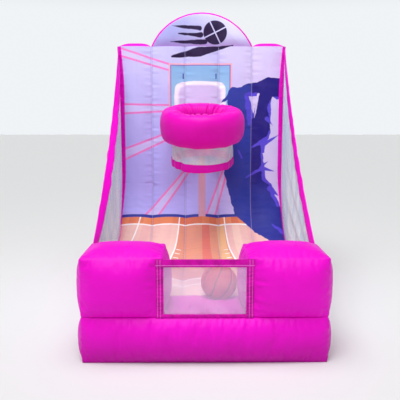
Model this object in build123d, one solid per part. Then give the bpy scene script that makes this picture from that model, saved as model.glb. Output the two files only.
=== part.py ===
"""Inflatable basketball hoop game, modelled as an assembly of air chambers, nets and fittings.

Frame: millimetres, +Z up, +X to the player's right, +Y away from the player.
The origin is on the ground, at the middle of the footprint.
The player stands in front, at -Y, and throws the ball into the ring on the rear wall.
A ball that drops through the ring rolls down the court to the catch behind the front net.
"""
from build123d import *
import math
import os

# ---------------- driving sizes
WIDTH = 1524.0              # over the air chambers
CHAMBERS = 5                # side by side in the wall and in the court
SHEET_T = 3.0               # ground sheet
WEB_T = 3.0                 # inner web that parts two chambers
WEB_HOLE_R = 60.0           # air holes through the webs
WEB_HOLE_PITCH = 420.0
SOFT_EDGE = 20.0            # rounding of the outer chamber edges

FRONT_BEAM_DEPTH = 400.0
BASE_HEIGHT = 292.0         # top of the front beam
BLOCK_WIDTH = 500.0
BLOCK_HEIGHT = 373.0        # above the front beam

COURT_START_Z = 275.0       # seam height where the court meets the front beam
COURT_SLOPE = 4.65          # degrees, rising towards the wall
COURT_LENGTH = 1500.0       # from the front beam to the wall's seam plane
COURT_CURVE_R = 560.0       # the court turns up into the wall on this radius
BULGE = 28.0                # how far a chamber's skin stands out between two seams

WALL_THICKNESS = 300.0
WALL_TOP = 2160.0
HEADER_HEIGHT = 300.0
HEADER_CHAMBERS = 3         # the header stands on this many chambers
HEADER_RIM_T = 12.0
HEADER_RIM_INSET = 15.0     # from the header's front and back to its rim

RING_OUTER_R = 360.0
RING_INNER_R = 170.0
RING_HEIGHT = 280.0
RING_CORNER_R = 80.0
RING_CENTRE_Z = 1447.0
RING_DROOP = 11.6           # degrees, front edge down
RING_STANDOFF = 15.0        # from the wall's skin to the ring's rearmost point
NECK_WIDTH = 220.0
NECK_HEIGHT = 150.0

HOOP_NET_LENGTH = 130.0
HOOP_NET_T = 3.0
HOOP_HEM_LENGTH = 62.0
HOOP_HEM_T = 5.0

NET_T = 3.0                 # side nets, their trims and the front window
NET_INSET = 12.0            # from the outer side to the net's middle
TRIM_WIDTH = 30.0
BAND_WIDTH = 60.0
BAND_SAG = 105.0            # how far the net's front edge bows back from a straight line
BAND_TOP_GAP = 20.0         # from the wall's top seam to the band's upper end

WINDOW_INSET = 17.0         # from a corner block's inner side to the window's net panel
WINDOW_FLAP_WIDTH = 55.0
WINDOW_TOP_HEM = 50.0
WINDOW_BOTTOM_HEM = 22.0
WINDOW_TOP_GAP = 5.0        # from the blocks' top down to the window's upper edge

BALL_R = 121.5
BALL_X = 100.0
BALL_FROM_FRONT = 345.0
REST_GAP = 0.3              # between loose pieces and their seats

ANCHOR_PATCH = 90.0
ANCHOR_PATCH_T = 4.0
RING_WIRE_R = 3.0
RING_ARC_R = 22.0
BAR_CLEARANCE = 0.05        # radial, between a D-ring's bar and its webbing loop
LOOP_WALL = 3.5
LOOP_WIDTH = 34.0
LOOP_TAIL = 40.0
LOW_ANCHOR_Z = 80.0
HIGH_ANCHOR_BELOW_TOP = 260.0
FRONT_ANCHOR_FROM_FRONT = 600.0
REAR_ANCHOR_FROM_BACK = 210.0

INLET_R = 90.0
INLET_LENGTH = 150.0
INLET_WALL = 3.0
INLET_Z = 220.0
INLET_FLANGE = 30.0
INLET_STRAP_WIDTH = 30.0
INLET_STRAP_T = 3.0
BUCKLE_LENGTH = 44.0
BUCKLE_T = 9.0
BUCKLE_BAR = 5.0

ZIP_LENGTH = 440.0
ZIP_BOTTOM_Z = 170.0
ZIP_TAPE_WIDTH = 36.0
ZIP_TAPE_T = 3.0
ZIP_TEETH_WIDTH = 8.0
ZIP_TEETH_T = 2.5
ZIP_TRAVEL = 380.0
SLIDER_LENGTH = 20.0
SLIDER_WIDTH = 14.0
SLIDER_T = 4.0
SLIDER_EAR = 5.0
PULL_LENGTH = 34.0
PULL_WIDTH = 9.0
PULL_T = 2.5
PULL_PIN_R = 1.5

# ---------------- worked out sizes
HALF_W = WIDTH / 2
CELL_W = (WIDTH - WEB_T * (CHAMBERS - 1)) / CHAMBERS
CELL_PITCH = CELL_W + WEB_T
DEPTH = FRONT_BEAM_DEPTH + COURT_LENGTH + WALL_THICKNESS + BULGE
FRONT_Y = -DEPTH / 2
COURT_Y = FRONT_Y + FRONT_BEAM_DEPTH
WALL_Y = COURT_Y + COURT_LENGTH          # seam plane of the wall's front
BACK_Y = WALL_Y + WALL_THICKNESS         # seam plane of the wall's back
BLOCK_TOP = BASE_HEIGHT + BLOCK_HEIGHT
BLOCK_INNER = HALF_W - BLOCK_WIDTH
NET_X = HALF_W - NET_INSET
SLOPE = math.radians(COURT_SLOPE)
DROOP = math.radians(RING_DROOP)
RING_MID_R = (RING_OUTER_R + RING_INNER_R) / 2

SIDES = {"left": -1, "right": 1}


def save(name, shape):
    """Writes one node's solids to its own file."""
    os.makedirs("parts", exist_ok=True)
    solids = shape if isinstance(shape, Compound) else Compound(children=[shape])
    export_step(solids, f"parts/{name}.step")


def block(x0, x1, y0, y1, z0, z1):
    """A plain box between two corners."""
    return Pos((x0 + x1) / 2, (y0 + y1) / 2, (z0 + z1) / 2) * Box(x1 - x0, y1 - y0, z1 - z0)


def soft_box(x0, x1, y0, y1, z0, z1):
    """An air chamber: a box with every edge rounded."""
    box = block(x0, x1, y0, y1, z0, z1)
    return fillet(box.edges(), SOFT_EDGE)


def side_face(wire_edges, x):
    """A flat face in the plane at x, from edges drawn as (y, z)."""
    return Plane(origin=(x, 0, 0), x_dir=(0, 1, 0), z_dir=(1, 0, 0)) * make_face(wire_edges)


# ---------------- the court's and wall's line, seen from the side
def court_curve(offset=0.0):
    """Edges (y, z) of the court's seam line: the slope, then the curve up to the wall.

    offset moves the line out into the playing space, square to the skin."""
    foot_z = COURT_START_Z + COURT_LENGTH * math.tan(SLOPE)
    tangent = COURT_CURVE_R * math.tan((math.pi / 2 - SLOPE) / 2)
    centre = Vector(WALL_Y - COURT_CURVE_R, foot_z + tangent)
    radius = COURT_CURVE_R - offset
    start = Vector(COURT_Y, COURT_START_Z + offset / math.cos(SLOPE))
    low = centre + Vector(math.sin(SLOPE), -math.cos(SLOPE)) * radius
    middle_angle = (SLOPE - math.pi / 2) / 2
    middle = centre + Vector(math.cos(middle_angle), math.sin(middle_angle)) * radius
    high = centre + Vector(radius, 0)
    return [Line(start, low), ThreePointArc(low, middle, high)]


def court_line(offset=0.0, top=WALL_TOP):
    """The court's seam line, carried straight up the wall to its top."""
    curve = court_curve(offset)
    foot = curve[1] @ 1
    return curve + [Line(foot, (foot.X, top))]


def line_ends(edges):
    return edges[0] @ 0, edges[-1] @ 1


CURVE_TOP_Z = (court_curve()[1] @ 1).Y


# ---------------- front beam, corner blocks and ground sheet
def ground_sheet():
    return block(-HALF_W, HALF_W, FRONT_Y, BACK_Y, 0, SHEET_T)


def front_beam():
    return soft_box(-HALF_W, HALF_W, FRONT_Y, COURT_Y, SHEET_T, BASE_HEIGHT)


def corner_block(side):
    inner, outer = side * BLOCK_INNER, side * HALF_W
    return soft_box(min(inner, outer), max(inner, outer), FRONT_Y, COURT_Y, BASE_HEIGHT, BLOCK_TOP)


# ---------------- court and wall chambers
def skin_bulge(width):
    """Section of the skin between two seams: a shallow circular segment with its chord on the X axis."""
    return make_face([Line((-width / 2, 0), (width / 2, 0)),
                      ThreePointArc((width / 2, 0), (0, BULGE), (-width / 2, 0))])


def chamber_x(number):
    """Middle of chamber number 1 to CHAMBERS, counted from the left."""
    return -HALF_W + CELL_W / 2 + CELL_PITCH * (number - 1)


def web_x(number):
    """Left face of the web to the right of a chamber."""
    return chamber_x(number) + CELL_W / 2


def court_outline():
    """The court chambers' side: the seam line on top, straight edges in front, below and behind."""
    line = court_curve()
    start, end = line[0] @ 0, line[1] @ 1
    return line + [Line(end, (end.X, SHEET_T)), Line((end.X, SHEET_T), (start.X, SHEET_T)),
                   Line((start.X, SHEET_T), start)]


def court_cell(number):
    """One court chamber: flat sides, and a top skin that slopes, then curves up to the wall."""
    x = chamber_x(number)
    line = court_curve()
    core = extrude(side_face(court_outline(), x - CELL_W / 2), CELL_W)
    side_plane = Plane(origin=(x, 0, 0), x_dir=(0, 1, 0), z_dir=(1, 0, 0))
    path = Wire([side_plane * edge for edge in line])
    section_plane = Plane(origin=path @ 0, x_dir=(1, 0, 0), z_dir=path % 0)
    section = section_plane * skin_bulge(CELL_W)
    if section_plane.y_dir.Z < 0:
        section = section_plane * Rot(180, 0, 0) * skin_bulge(CELL_W)
    skin = sweep(section, path=path)
    ahead = block(x - CELL_W, x + CELL_W, FRONT_Y, COURT_Y, 0, BLOCK_TOP)
    return core + skin - ahead


def wall_cell(number):
    """One wall chamber: an upright column whose front and back skins stand out between the seams."""
    x = chamber_x(number)
    left, right = x - CELL_W / 2, x + CELL_W / 2
    core = block(left, right, WALL_Y, BACK_Y, SHEET_T, WALL_TOP)
    front_bulge = mirror(skin_bulge(CELL_W), Plane.XZ)
    front = Pos(x, WALL_Y, CURVE_TOP_Z) * extrude(front_bulge, WALL_TOP - CURVE_TOP_Z)
    back = Pos(x, BACK_Y, SHEET_T) * extrude(skin_bulge(CELL_W), WALL_TOP - SHEET_T)
    return core + front + back


def air_holes(number, places):
    """Drills for the holes that let air pass through a web, at (y, z) places."""
    x = web_x(number) + WEB_T / 2
    drill = Rot(0, 90, 0) * Cylinder(WEB_HOLE_R, WEB_T * 4)
    return [Pos(x, y, z) * drill for y, z in places]


def court_web(number):
    """The web between two court chambers, with a row of air holes along its middle."""
    web = extrude(side_face(court_outline(), web_x(number)), WEB_T)
    count = int((COURT_LENGTH - 2 * WEB_HOLE_R) // WEB_HOLE_PITCH)
    first = (COURT_LENGTH - (count - 1) * WEB_HOLE_PITCH) / 2
    places = [(COURT_Y + first + i * WEB_HOLE_PITCH, COURT_START_Z / 2) for i in range(count)]
    for hole in air_holes(number, places):
        web = web - hole
    return web


def wall_web(number):
    """The web between two wall chambers, with a column of air holes up its middle."""
    web = block(web_x(number), web_x(number) + WEB_T, WALL_Y, BACK_Y, SHEET_T, WALL_TOP)
    count = int((WALL_TOP - 2 * WEB_HOLE_R) // WEB_HOLE_PITCH)
    first = (WALL_TOP - (count - 1) * WEB_HOLE_PITCH) / 2
    places = [((WALL_Y + BACK_Y) / 2, first + i * WEB_HOLE_PITCH) for i in range(count)]
    for hole in air_holes(number, places):
        web = web - hole
    return web


# ---------------- header
HEADER_HALF = CELL_PITCH * HEADER_CHAMBERS / 2
HEADER_RIM_WIDTH = WALL_THICKNESS - 2 * HEADER_RIM_INSET


def header_face(inset=0.0):
    """The header's rounded outline above the wall, in its own XY plane."""
    half, height = HEADER_HALF - inset, HEADER_HEIGHT - inset
    return make_face([Line((-half, 0), (half, 0)), ThreePointArc((half, 0), (0, height), (-half, 0))])


def header():
    """The printed header chamber, inside its rim."""
    plane = Plane(origin=(0, BACK_Y, WALL_TOP), x_dir=(1, 0, 0), z_dir=(0, -1, 0))
    return extrude(plane * header_face(HEADER_RIM_T), WALL_THICKNESS)


def header_rim():
    """The plain band that closes the header all round its curved edge."""
    middle_y = (WALL_Y + BACK_Y) / 2
    plane = Plane(origin=(0, middle_y + HEADER_RIM_WIDTH / 2, WALL_TOP), x_dir=(1, 0, 0), z_dir=(0, -1, 0))
    return extrude(plane * (header_face() - header_face(HEADER_RIM_T)), HEADER_RIM_WIDTH)


# ---------------- hoop
RING_REACH = ((RING_OUTER_R - RING_CORNER_R) * math.cos(DROOP)
              + (RING_HEIGHT / 2 - RING_CORNER_R) * math.sin(DROOP) + RING_CORNER_R)
RING_Y = WALL_Y - BULGE - RING_STANDOFF - RING_REACH
RING_PLANE = Plane(origin=(0, RING_Y, RING_CENTRE_Z), x_dir=(1, 0, 0),
                   z_dir=(0, -math.sin(DROOP), math.cos(DROOP)))


def hoop_ring():
    section = Pos(RING_MID_R, 0) * RectangleRounded(RING_OUTER_R - RING_INNER_R, RING_HEIGHT, RING_CORNER_R)
    ring = revolve(Plane.XZ * section, Axis.Z)
    return RING_PLANE * ring


def hoop_neck(ring, wall):
    """The short air duct that feeds the ring and holds it to the middle chamber."""
    back = WALL_Y
    front = RING_Y + RING_MID_R
    neck = block(-NECK_WIDTH / 2, NECK_WIDTH / 2, front, back,
                 RING_CENTRE_Z - NECK_HEIGHT / 2, RING_CENTRE_Z + NECK_HEIGHT / 2)
    return (neck - ring - wall).solids().sort_by(Axis.Y)[-1]


def hanging_tube(top_drop, length, thickness):
    """A fabric tube that hangs straight down from the ring's drooping underside."""
    plane = RING_PLANE.offset(-RING_HEIGHT / 2)
    plane = Plane(origin=plane.origin - Vector(0, 0, top_drop), x_dir=plane.x_dir, z_dir=plane.z_dir)
    annulus = Circle(RING_MID_R + thickness / 2) - Circle(RING_MID_R - thickness / 2)
    return extrude(plane * annulus, amount=length, dir=(0, 0, -1))


# ---------------- side nets
def band_edge(inset=0.0):
    """The side net's front edge, from the block's upper rear corner to the wall's top, bowed back."""
    low = Vector(COURT_Y + BAND_WIDTH / 4, BLOCK_TOP)
    high = Vector(WALL_Y - TRIM_WIDTH, WALL_TOP - BAND_TOP_GAP)
    along = (high - low).normalized()
    inward = Vector(along.Y, -along.X)
    middle = (low + high) * 0.5 + inward * BAND_SAG
    return ThreePointArc(low + inward * inset, middle + inward * inset, high + inward * inset)


def net_zone():
    """The net's whole panel, as a flat face (y, z): its front edge, and the line of its rear trim."""
    edge = band_edge()
    line = court_line(TRIM_WIDTH, WALL_TOP - BAND_TOP_GAP)
    foot = Vector(COURT_Y, BLOCK_TOP)
    return make_face(line + [edge, Line(edge @ 0, foot), Line(foot, line[0] @ 0)])


def net_sheet(face, side):
    x = side * NET_X - NET_T / 2
    plane = Plane(origin=(x, 0, 0), x_dir=(0, 1, 0), z_dir=(1, 0, 0))
    return extrude(plane * face, NET_T)


def side_band(side):
    """The hem along the net's front edge."""
    outer, inner = band_edge(), band_edge(BAND_WIDTH)
    face = make_face([outer, Line(outer @ 1, inner @ 1), inner, Line(inner @ 0, outer @ 0)])
    return net_sheet(face & net_zone(), side)


def side_net(side):
    """The net between the hem, the corner block and the edge trim."""
    sheet = net_sheet(net_zone(), side) - side_band(side)
    return max(sheet.solids(), key=lambda solid: solid.volume)


def edge_trim(side, cells):
    """The tape that joins the side net to the court's and wall's edge."""
    outer = court_line(TRIM_WIDTH)
    inner = court_line()
    (a, b), (c, d) = line_ends(outer), line_ends(inner)
    face = make_face(outer + inner + [Line(a, c), Line(b, d)])
    tape = net_sheet(face, side)
    for cell in cells:
        tape = tape - cell
    return max(tape.solids(), key=lambda solid: solid.volume)


# ---------------- front window
WINDOW_TOP = BLOCK_TOP - WINDOW_TOP_GAP
WINDOW_HALF_WIDTH = BLOCK_INNER - WINDOW_INSET
WINDOW_SPAN = WINDOW_HALF_WIDTH + WINDOW_FLAP_WIDTH


def window_mesh():
    """The net panel that keeps the ball in the catch and lets it be seen."""
    return block(-WINDOW_HALF_WIDTH, WINDOW_HALF_WIDTH, FRONT_Y - NET_T, FRONT_Y, BASE_HEIGHT, WINDOW_TOP)


def window_flap(side):
    inner, outer = sorted((side * WINDOW_HALF_WIDTH, side * WINDOW_SPAN))
    return block(inner, outer, FRONT_Y - NET_T, FRONT_Y, BASE_HEIGHT, WINDOW_TOP)


def window_hem(z0, z1):
    return block(-WINDOW_SPAN, WINDOW_SPAN, FRONT_Y - 2 * NET_T, FRONT_Y - NET_T, z0, z1)


# ---------------- ball
def ball():
    return Pos(BALL_X, FRONT_Y + BALL_FROM_FRONT, BASE_HEIGHT + REST_GAP + BALL_R) * Sphere(BALL_R)


# ---------------- anchor points
LOOP_BORE_R = RING_WIRE_R + BAR_CLEARANCE
LOOP_OUTER_R = LOOP_BORE_R + LOOP_WALL
BAR_OFFSET = ANCHOR_PATCH_T + LOOP_OUTER_R      # from the chamber's side to the D-ring's bar


def on_side(side, y, z):
    """Placement on a chamber's outer side: local X points out, local Z up."""
    turn = 0 if side > 0 else 180
    return Pos(side * HALF_W, y, z) * Rot(0, 0, turn)


def anchor_loop(place):
    """A square patch with a webbing loop folded round the D-ring's bar."""
    half = ANCHOR_PATCH / 2
    patch = block(0, ANCHOR_PATCH_T, -half, half, -half / 2, ANCHOR_PATCH - half / 2)
    tube = Pos(BAR_OFFSET, 0, 0) * Rot(90, 0, 0) * Cylinder(LOOP_OUTER_R, LOOP_WIDTH)
    tail = block(ANCHOR_PATCH_T, BAR_OFFSET, -LOOP_WIDTH / 2, LOOP_WIDTH / 2, 0, LOOP_TAIL)
    bore = Pos(BAR_OFFSET, 0, 0) * Rot(90, 0, 0) * Cylinder(LOOP_BORE_R, LOOP_WIDTH * 2)
    return place * (patch + tube + tail - bore)


def d_ring(place):
    """A steel D-ring, hanging from the loop with its bar along Y."""
    bar = Rot(90, 0, 0) * Cylinder(RING_WIRE_R, 2 * RING_ARC_R)
    wire = Pos(0, RING_ARC_R, 0) * Circle(RING_WIRE_R)
    arc = revolve(wire, Axis.X, 180)
    if arc.bounding_box().max.Z > RING_ARC_R:
        arc = revolve(wire, Axis.X, -180)
    corners = [Pos(0, end * RING_ARC_R, 0) * Sphere(RING_WIRE_R) for end in (-1, 1)]
    return place * Pos(BAR_OFFSET, 0, 0) * (bar + arc + corners[0] + corners[1])


ANCHORS = {
    "front": (FRONT_Y + FRONT_ANCHOR_FROM_FRONT, LOW_ANCHOR_Z),
    "rear": (BACK_Y - REAR_ANCHOR_FROM_BACK, LOW_ANCHOR_Z),
    "top": (BACK_Y - REAR_ANCHOR_FROM_BACK, WALL_TOP - HIGH_ANCHOR_BELOW_TOP),
}

# ---------------- air inlet, on the back of chamber 2
INLET_X = chamber_x(2)
CROWN_Y = BACK_Y + BULGE         # rearmost line of a chamber's back skin
INLET_MOUTH_Y = CROWN_Y + INLET_LENGTH


def inlet_tube(radius, y0, y1):
    return Pos(INLET_X, (y0 + y1) / 2, INLET_Z) * Rot(90, 0, 0) * Cylinder(radius, y1 - y0)


def inlet_collar(cells):
    """A fabric sleeve with a sewn flange. The blower's nozzle goes into it."""
    sleeve = inlet_tube(INLET_R + INLET_WALL, BACK_Y, INLET_MOUTH_Y)
    flange = inlet_tube(INLET_R + INLET_FLANGE, BACK_Y, CROWN_Y + INLET_WALL)
    shape = sleeve + flange - inlet_tube(INLET_R, CROWN_Y, INLET_MOUTH_Y + 1)
    for cell in cells:
        shape = shape - cell
    return max(shape.solids(), key=lambda solid: solid.volume)


STRAP_Y = CROWN_Y + INLET_LENGTH * 0.6


def inlet_strap():
    """The webbing that draws the sleeve tight on the nozzle."""
    inside, outside = INLET_R + INLET_WALL, INLET_R + INLET_WALL + INLET_STRAP_T
    y0, y1 = STRAP_Y - INLET_STRAP_WIDTH / 2, STRAP_Y + INLET_STRAP_WIDTH / 2
    return inlet_tube(outside, y0, y1) - inlet_tube(inside, y0 - 1, y1 + 1)


def inlet_buckle():
    """A plain three-bar buckle on top of the strap."""
    z0 = INLET_Z + INLET_R + INLET_WALL + INLET_STRAP_T
    y0, y1 = STRAP_Y - INLET_STRAP_WIDTH / 2, STRAP_Y + INLET_STRAP_WIDTH / 2
    frame = block(INLET_X - BUCKLE_LENGTH / 2, INLET_X + BUCKLE_LENGTH / 2,
                  y0 - BUCKLE_BAR, y1 + BUCKLE_BAR, z0, z0 + BUCKLE_T)
    slot_w = (BUCKLE_LENGTH - 3 * BUCKLE_BAR) / 2
    for side in (-1, 1):
        x = INLET_X + side * (slot_w + BUCKLE_BAR) / 2
        frame = frame - block(x - slot_w / 2, x + slot_w / 2, y0, y1, z0 - 1, z0 + BUCKLE_T + 1)
    return frame


# ---------------- deflation zip, on the back of chamber 4
ZIP_X = chamber_x(4)
TAPE_BACK_Y = CROWN_Y + ZIP_TAPE_T
TEETH_Y = TAPE_BACK_Y + ZIP_TEETH_T
SLIDER_Y = TEETH_Y + REST_GAP
PULL_PIN_Y = SLIDER_Y + SLIDER_T + SLIDER_EAR / 2
SLIDER_Z = ZIP_BOTTOM_Z + (ZIP_LENGTH - ZIP_TRAVEL) / 2


def zip_tape(cells):
    """Two woven tapes with a row of moulded teeth down the middle."""
    tape = block(ZIP_X - ZIP_TAPE_WIDTH / 2, ZIP_X + ZIP_TAPE_WIDTH / 2, BACK_Y, TAPE_BACK_Y,
                 ZIP_BOTTOM_Z, ZIP_BOTTOM_Z + ZIP_LENGTH)
    teeth = block(ZIP_X - ZIP_TEETH_WIDTH / 2, ZIP_X + ZIP_TEETH_WIDTH / 2, TAPE_BACK_Y, TEETH_Y,
                  ZIP_BOTTOM_Z, ZIP_BOTTOM_Z + ZIP_LENGTH)
    shape = tape + teeth
    for cell in cells:
        shape = shape - cell
    return max(shape.solids(), key=lambda solid: solid.volume)


def zip_slider():
    """The slider: a channel over the teeth, with two ears that carry the pull's pin."""
    half = SLIDER_WIDTH / 2
    body = block(ZIP_X - half, ZIP_X + half, TAPE_BACK_Y + REST_GAP, SLIDER_Y + SLIDER_T,
                 SLIDER_Z, SLIDER_Z + SLIDER_LENGTH)
    inside = ZIP_TEETH_WIDTH / 2 + REST_GAP
    channel = block(ZIP_X - inside, ZIP_X + inside, TAPE_BACK_Y, SLIDER_Y,
                    SLIDER_Z - 1, SLIDER_Z + SLIDER_LENGTH + 1)
    body = body - channel
    middle_z = SLIDER_Z + SLIDER_LENGTH / 2
    ears = []
    for side in (-1, 1):
        x = ZIP_X + side * (PULL_WIDTH / 2 + REST_GAP + 1)
        ear = block(x - 1, x + 1, SLIDER_Y + SLIDER_T, SLIDER_Y + SLIDER_T + SLIDER_EAR,
                    middle_z - 3, middle_z + 3)
        ears.append(ear)
    drill = Cylinder(PULL_PIN_R + BAR_CLEARANCE, SLIDER_WIDTH * 2)
    bore = Pos(ZIP_X, PULL_PIN_Y, middle_z) * Rot(0, 90, 0) * drill
    return body + ears[0] + ears[1] - bore


def zip_pull():
    """The pull tab, hanging down from its pin."""
    middle_z = SLIDER_Z + SLIDER_LENGTH / 2
    length = PULL_WIDTH + 2 * (REST_GAP + 2)
    pin = Pos(ZIP_X, PULL_PIN_Y, middle_z) * Rot(0, 90, 0) * Cylinder(PULL_PIN_R, length)
    tab = block(ZIP_X - PULL_WIDTH / 2, ZIP_X + PULL_WIDTH / 2,
                PULL_PIN_Y - PULL_T / 2, PULL_PIN_Y + PULL_T / 2,
                middle_z - PULL_LENGTH, middle_z + PULL_T / 2)
    tab = fillet(tab.edges().filter_by(Axis.Y).group_by(Axis.Z)[0], PULL_WIDTH / 3)
    return pin + tab



# ---------------- build
def main():
    numbers = range(1, CHAMBERS + 1)
    court = {n: court_cell(n) for n in numbers}
    wall = {n: wall_cell(n) for n in numbers}
    save("ground_sheet", ground_sheet())
    save("front_beam", front_beam())
    for n in numbers:
        save(f"court_cell_{n}", court[n])
        save(f"wall_cell_{n}", wall[n])
    for n in range(1, CHAMBERS):
        save(f"court_web_{n}", court_web(n))
        save(f"wall_web_{n}", wall_web(n))
    save("header", header())
    save("header_rim", header_rim())

    ring = hoop_ring()
    save("hoop_ring", ring)
    save("hoop_neck", hoop_neck(ring, wall[3]))
    save("hoop_net", hanging_tube(0, HOOP_NET_LENGTH, HOOP_NET_T))
    save("hoop_hem", hanging_tube(HOOP_NET_LENGTH, HOOP_HEM_LENGTH, HOOP_HEM_T))

    for name, side in SIDES.items():
        outer = 1 if side < 0 else CHAMBERS
        cells = [court[outer], wall[outer]]
        save(f"corner_block_{name}", corner_block(side))
        save(f"side_band_{name}", side_band(side))
        save(f"side_net_{name}", side_net(side))
        save(f"edge_trim_{name}", edge_trim(side, cells))
        save(f"window_flap_{name}", window_flap(side))
        for where, (y, z) in ANCHORS.items():
            place = on_side(side, y, z)
            save(f"anchor_loop_{where}_{name}", anchor_loop(place))
            save(f"d_ring_{where}_{name}", d_ring(place))

    save("window_mesh", window_mesh())
    save("window_top_hem", window_hem(WINDOW_TOP - WINDOW_TOP_HEM, WINDOW_TOP))
    save("window_bottom_hem", window_hem(BASE_HEIGHT, BASE_HEIGHT + WINDOW_BOTTOM_HEM))
    save("ball", ball())

    save("inlet_collar", inlet_collar([wall[1], wall[2], wall[3]]))
    save("inlet_strap", inlet_strap())
    save("inlet_buckle", inlet_buckle())
    save("zip_tape", zip_tape([wall[4]]))
    save("zip_slider", zip_slider())
    save("zip_pull", zip_pull())


main()
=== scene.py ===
"""Inflatable basketball hoop game: air chambers, printed wall and court, nets, padded ring and fittings."""
import bpy
import bmesh
import math
import random
from mathutils import Matrix, Vector, noise


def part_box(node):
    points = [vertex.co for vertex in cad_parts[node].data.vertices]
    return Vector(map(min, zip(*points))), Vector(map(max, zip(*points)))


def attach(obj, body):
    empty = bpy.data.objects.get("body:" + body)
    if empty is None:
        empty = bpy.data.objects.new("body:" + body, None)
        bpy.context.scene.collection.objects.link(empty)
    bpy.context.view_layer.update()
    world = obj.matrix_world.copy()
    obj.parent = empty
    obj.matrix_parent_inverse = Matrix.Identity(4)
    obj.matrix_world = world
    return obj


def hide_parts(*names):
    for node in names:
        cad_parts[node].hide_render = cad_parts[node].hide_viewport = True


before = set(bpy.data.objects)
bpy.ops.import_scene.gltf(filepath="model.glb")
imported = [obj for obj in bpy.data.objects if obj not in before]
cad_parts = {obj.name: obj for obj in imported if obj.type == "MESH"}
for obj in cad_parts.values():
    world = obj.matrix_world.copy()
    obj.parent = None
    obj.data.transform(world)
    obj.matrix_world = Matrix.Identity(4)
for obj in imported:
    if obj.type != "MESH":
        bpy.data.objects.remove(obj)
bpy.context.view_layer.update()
random.seed(5)

# The studio: a plain pale floor in a pale room, a wide soft light overhead, a large lamp over the court,
# and a camera at a standing player's eye height a few steps back from the front beam.
FLOOR_HALF = 60.0
front_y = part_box("front_beam")[0][1]
bpy.ops.object.select_all(action="DESELECT")
bpy.ops.mesh.primitive_plane_add(size=FLOOR_HALF * 2, location=(0, 0, -0.001))
floor = bpy.context.active_object
floor.name = "floor"
bpy.ops.object.transform_apply(location=True)
floor_paint = bpy.data.materials.new("floor_paint")
floor_paint.use_nodes = True
floor_shader = floor_paint.node_tree.nodes["Principled BSDF"]
floor_shader.inputs["Base Color"].default_value = (0.74, 0.74, 0.74, 1)
floor_shader.inputs["Roughness"].default_value = 0.9
floor.data.materials.append(floor_paint)

world = bpy.data.worlds.new("pale_room")
bpy.context.scene.world = world
world.use_nodes = True
room = world.node_tree
direction = room.nodes.new("ShaderNodeTexCoord")
upward = room.nodes.new("ShaderNodeSeparateXYZ")
room.links.new(direction.outputs["Generated"], upward.inputs["Vector"])
glow = room.nodes.new("ShaderNodeMapRange")
glow.interpolation_type = "SMOOTHSTEP"
for key, level in (("From Min", 0.18), ("From Max", 0.32), ("To Min", 0.90), ("To Max", 0.24)):
    glow.inputs[key].default_value = level
room.links.new(upward.outputs["Z"], glow.inputs["Value"])
room.links.new(glow.outputs["Result"], room.nodes["Background"].inputs["Strength"])
room.nodes["Background"].inputs["Color"].default_value = (0.97, 1.0, 1.03, 1)
bpy.context.scene.view_settings.view_transform = "Standard"

overhead = bpy.data.lights.new("overhead_light", "SUN")
overhead.energy = 2.5
overhead.angle = math.radians(45)
overhead_object = bpy.data.objects.new("overhead_light", overhead)
bpy.context.collection.objects.link(overhead_object)
overhead_object.rotation_euler = Vector((0.16, 0.42, -1.0)).to_track_quat("-Z", "Y").to_euler()

court_light = bpy.data.lights.new("court_light", "AREA")
court_light.shape = "RECTANGLE"
court_light.size = 2.4
court_light.size_y = 1.4
court_light.energy = 48
court_light.color = (0.96, 1.0, 1.0)
court_light_object = bpy.data.objects.new("court_light", court_light)
bpy.context.collection.objects.link(court_light_object)
court_light_object.location = (-0.3, front_y + 0.25, 4.3)
court_aim = Vector((0, 0.55, 1.1)) - court_light_object.location
court_light_object.rotation_euler = court_aim.to_track_quat("-Z", "Y").to_euler()

camera = bpy.data.cameras.new("camera")
camera.lens = 49.4
camera.sensor_width = 36
camera_object = bpy.data.objects.new("camera", camera)
bpy.context.collection.objects.link(camera_object)
camera_object.location = (-0.0547, front_y - 3.2387, 1.483)
camera_object.rotation_euler = (math.pi / 2 - 0.1415, 0, -0.0075)
bpy.context.scene.camera = camera_object


# ---------------------------------------------------------------- front beam and corner blocks
# Three air chambers of coated nylon cloth, cut as flat panels and sewn along every edge.
# Air pressure crowns the panels, and the gathered seams pucker the cloth beside them.
CHAMBER_MESH = 0.0105
CHAMBER_SLACK = 0.022
CHAMBER_CROWN = 0.034
FRONT_CROWN = 0.050
AIR_PRESSURE = 4.0
GATHER = 0.0021
GATHER_WAVES = (0.034, 0.049, 0.083)


def uneven(x, y, z):
    """A smooth random level, the same each time at the same place."""
    return noise.noise(Vector((x, y, z)))


def dye(red, green, blue):
    """A dye's colour, from its swatch on a 0 to 255 scale."""
    swatch = (c / 255 for c in (red, green, blue))
    return tuple(((c + 0.055) / 1.055) ** 2.4 if c > 0.04 else c / 12.92 for c in swatch) + (1,)


PINK = dye(233, 0, 198)
PINK_DEEP = dye(212, 0, 172)
# Painted shade: below this height the cloth's colour darkens towards the floor.
LOW_SHADE_HEIGHT = 0.27


def new_paint(name, roughness=0.5, sheen=0.1):
    """An empty finish: its node tree, its shader, and the place on the piece."""
    paint = bpy.data.materials.new(name)
    paint.use_nodes = True
    tree = paint.node_tree
    shader = tree.nodes["Principled BSDF"]
    shader.inputs["Roughness"].default_value = roughness
    shader.inputs["Sheen Weight"].default_value = sheen
    shader.inputs["Sheen Roughness"].default_value = 0.4
    shader.inputs["Specular IOR Level"].default_value = 0.15
    place = tree.nodes.new("ShaderNodeTexCoord").outputs["Object"]
    return paint, tree, shader, place


def calc(tree, operation, *values):
    """One sum. The values are numbers or sockets."""
    node = tree.nodes.new("ShaderNodeMath")
    node.operation = operation
    for socket, value in zip(node.inputs, values):
        if isinstance(value, (int, float)):
            socket.default_value = value
        else:
            tree.links.new(value, socket)
    return node.outputs[0]


def plus(tree, one, two):
    return calc(tree, "ADD", one, two)


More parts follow.
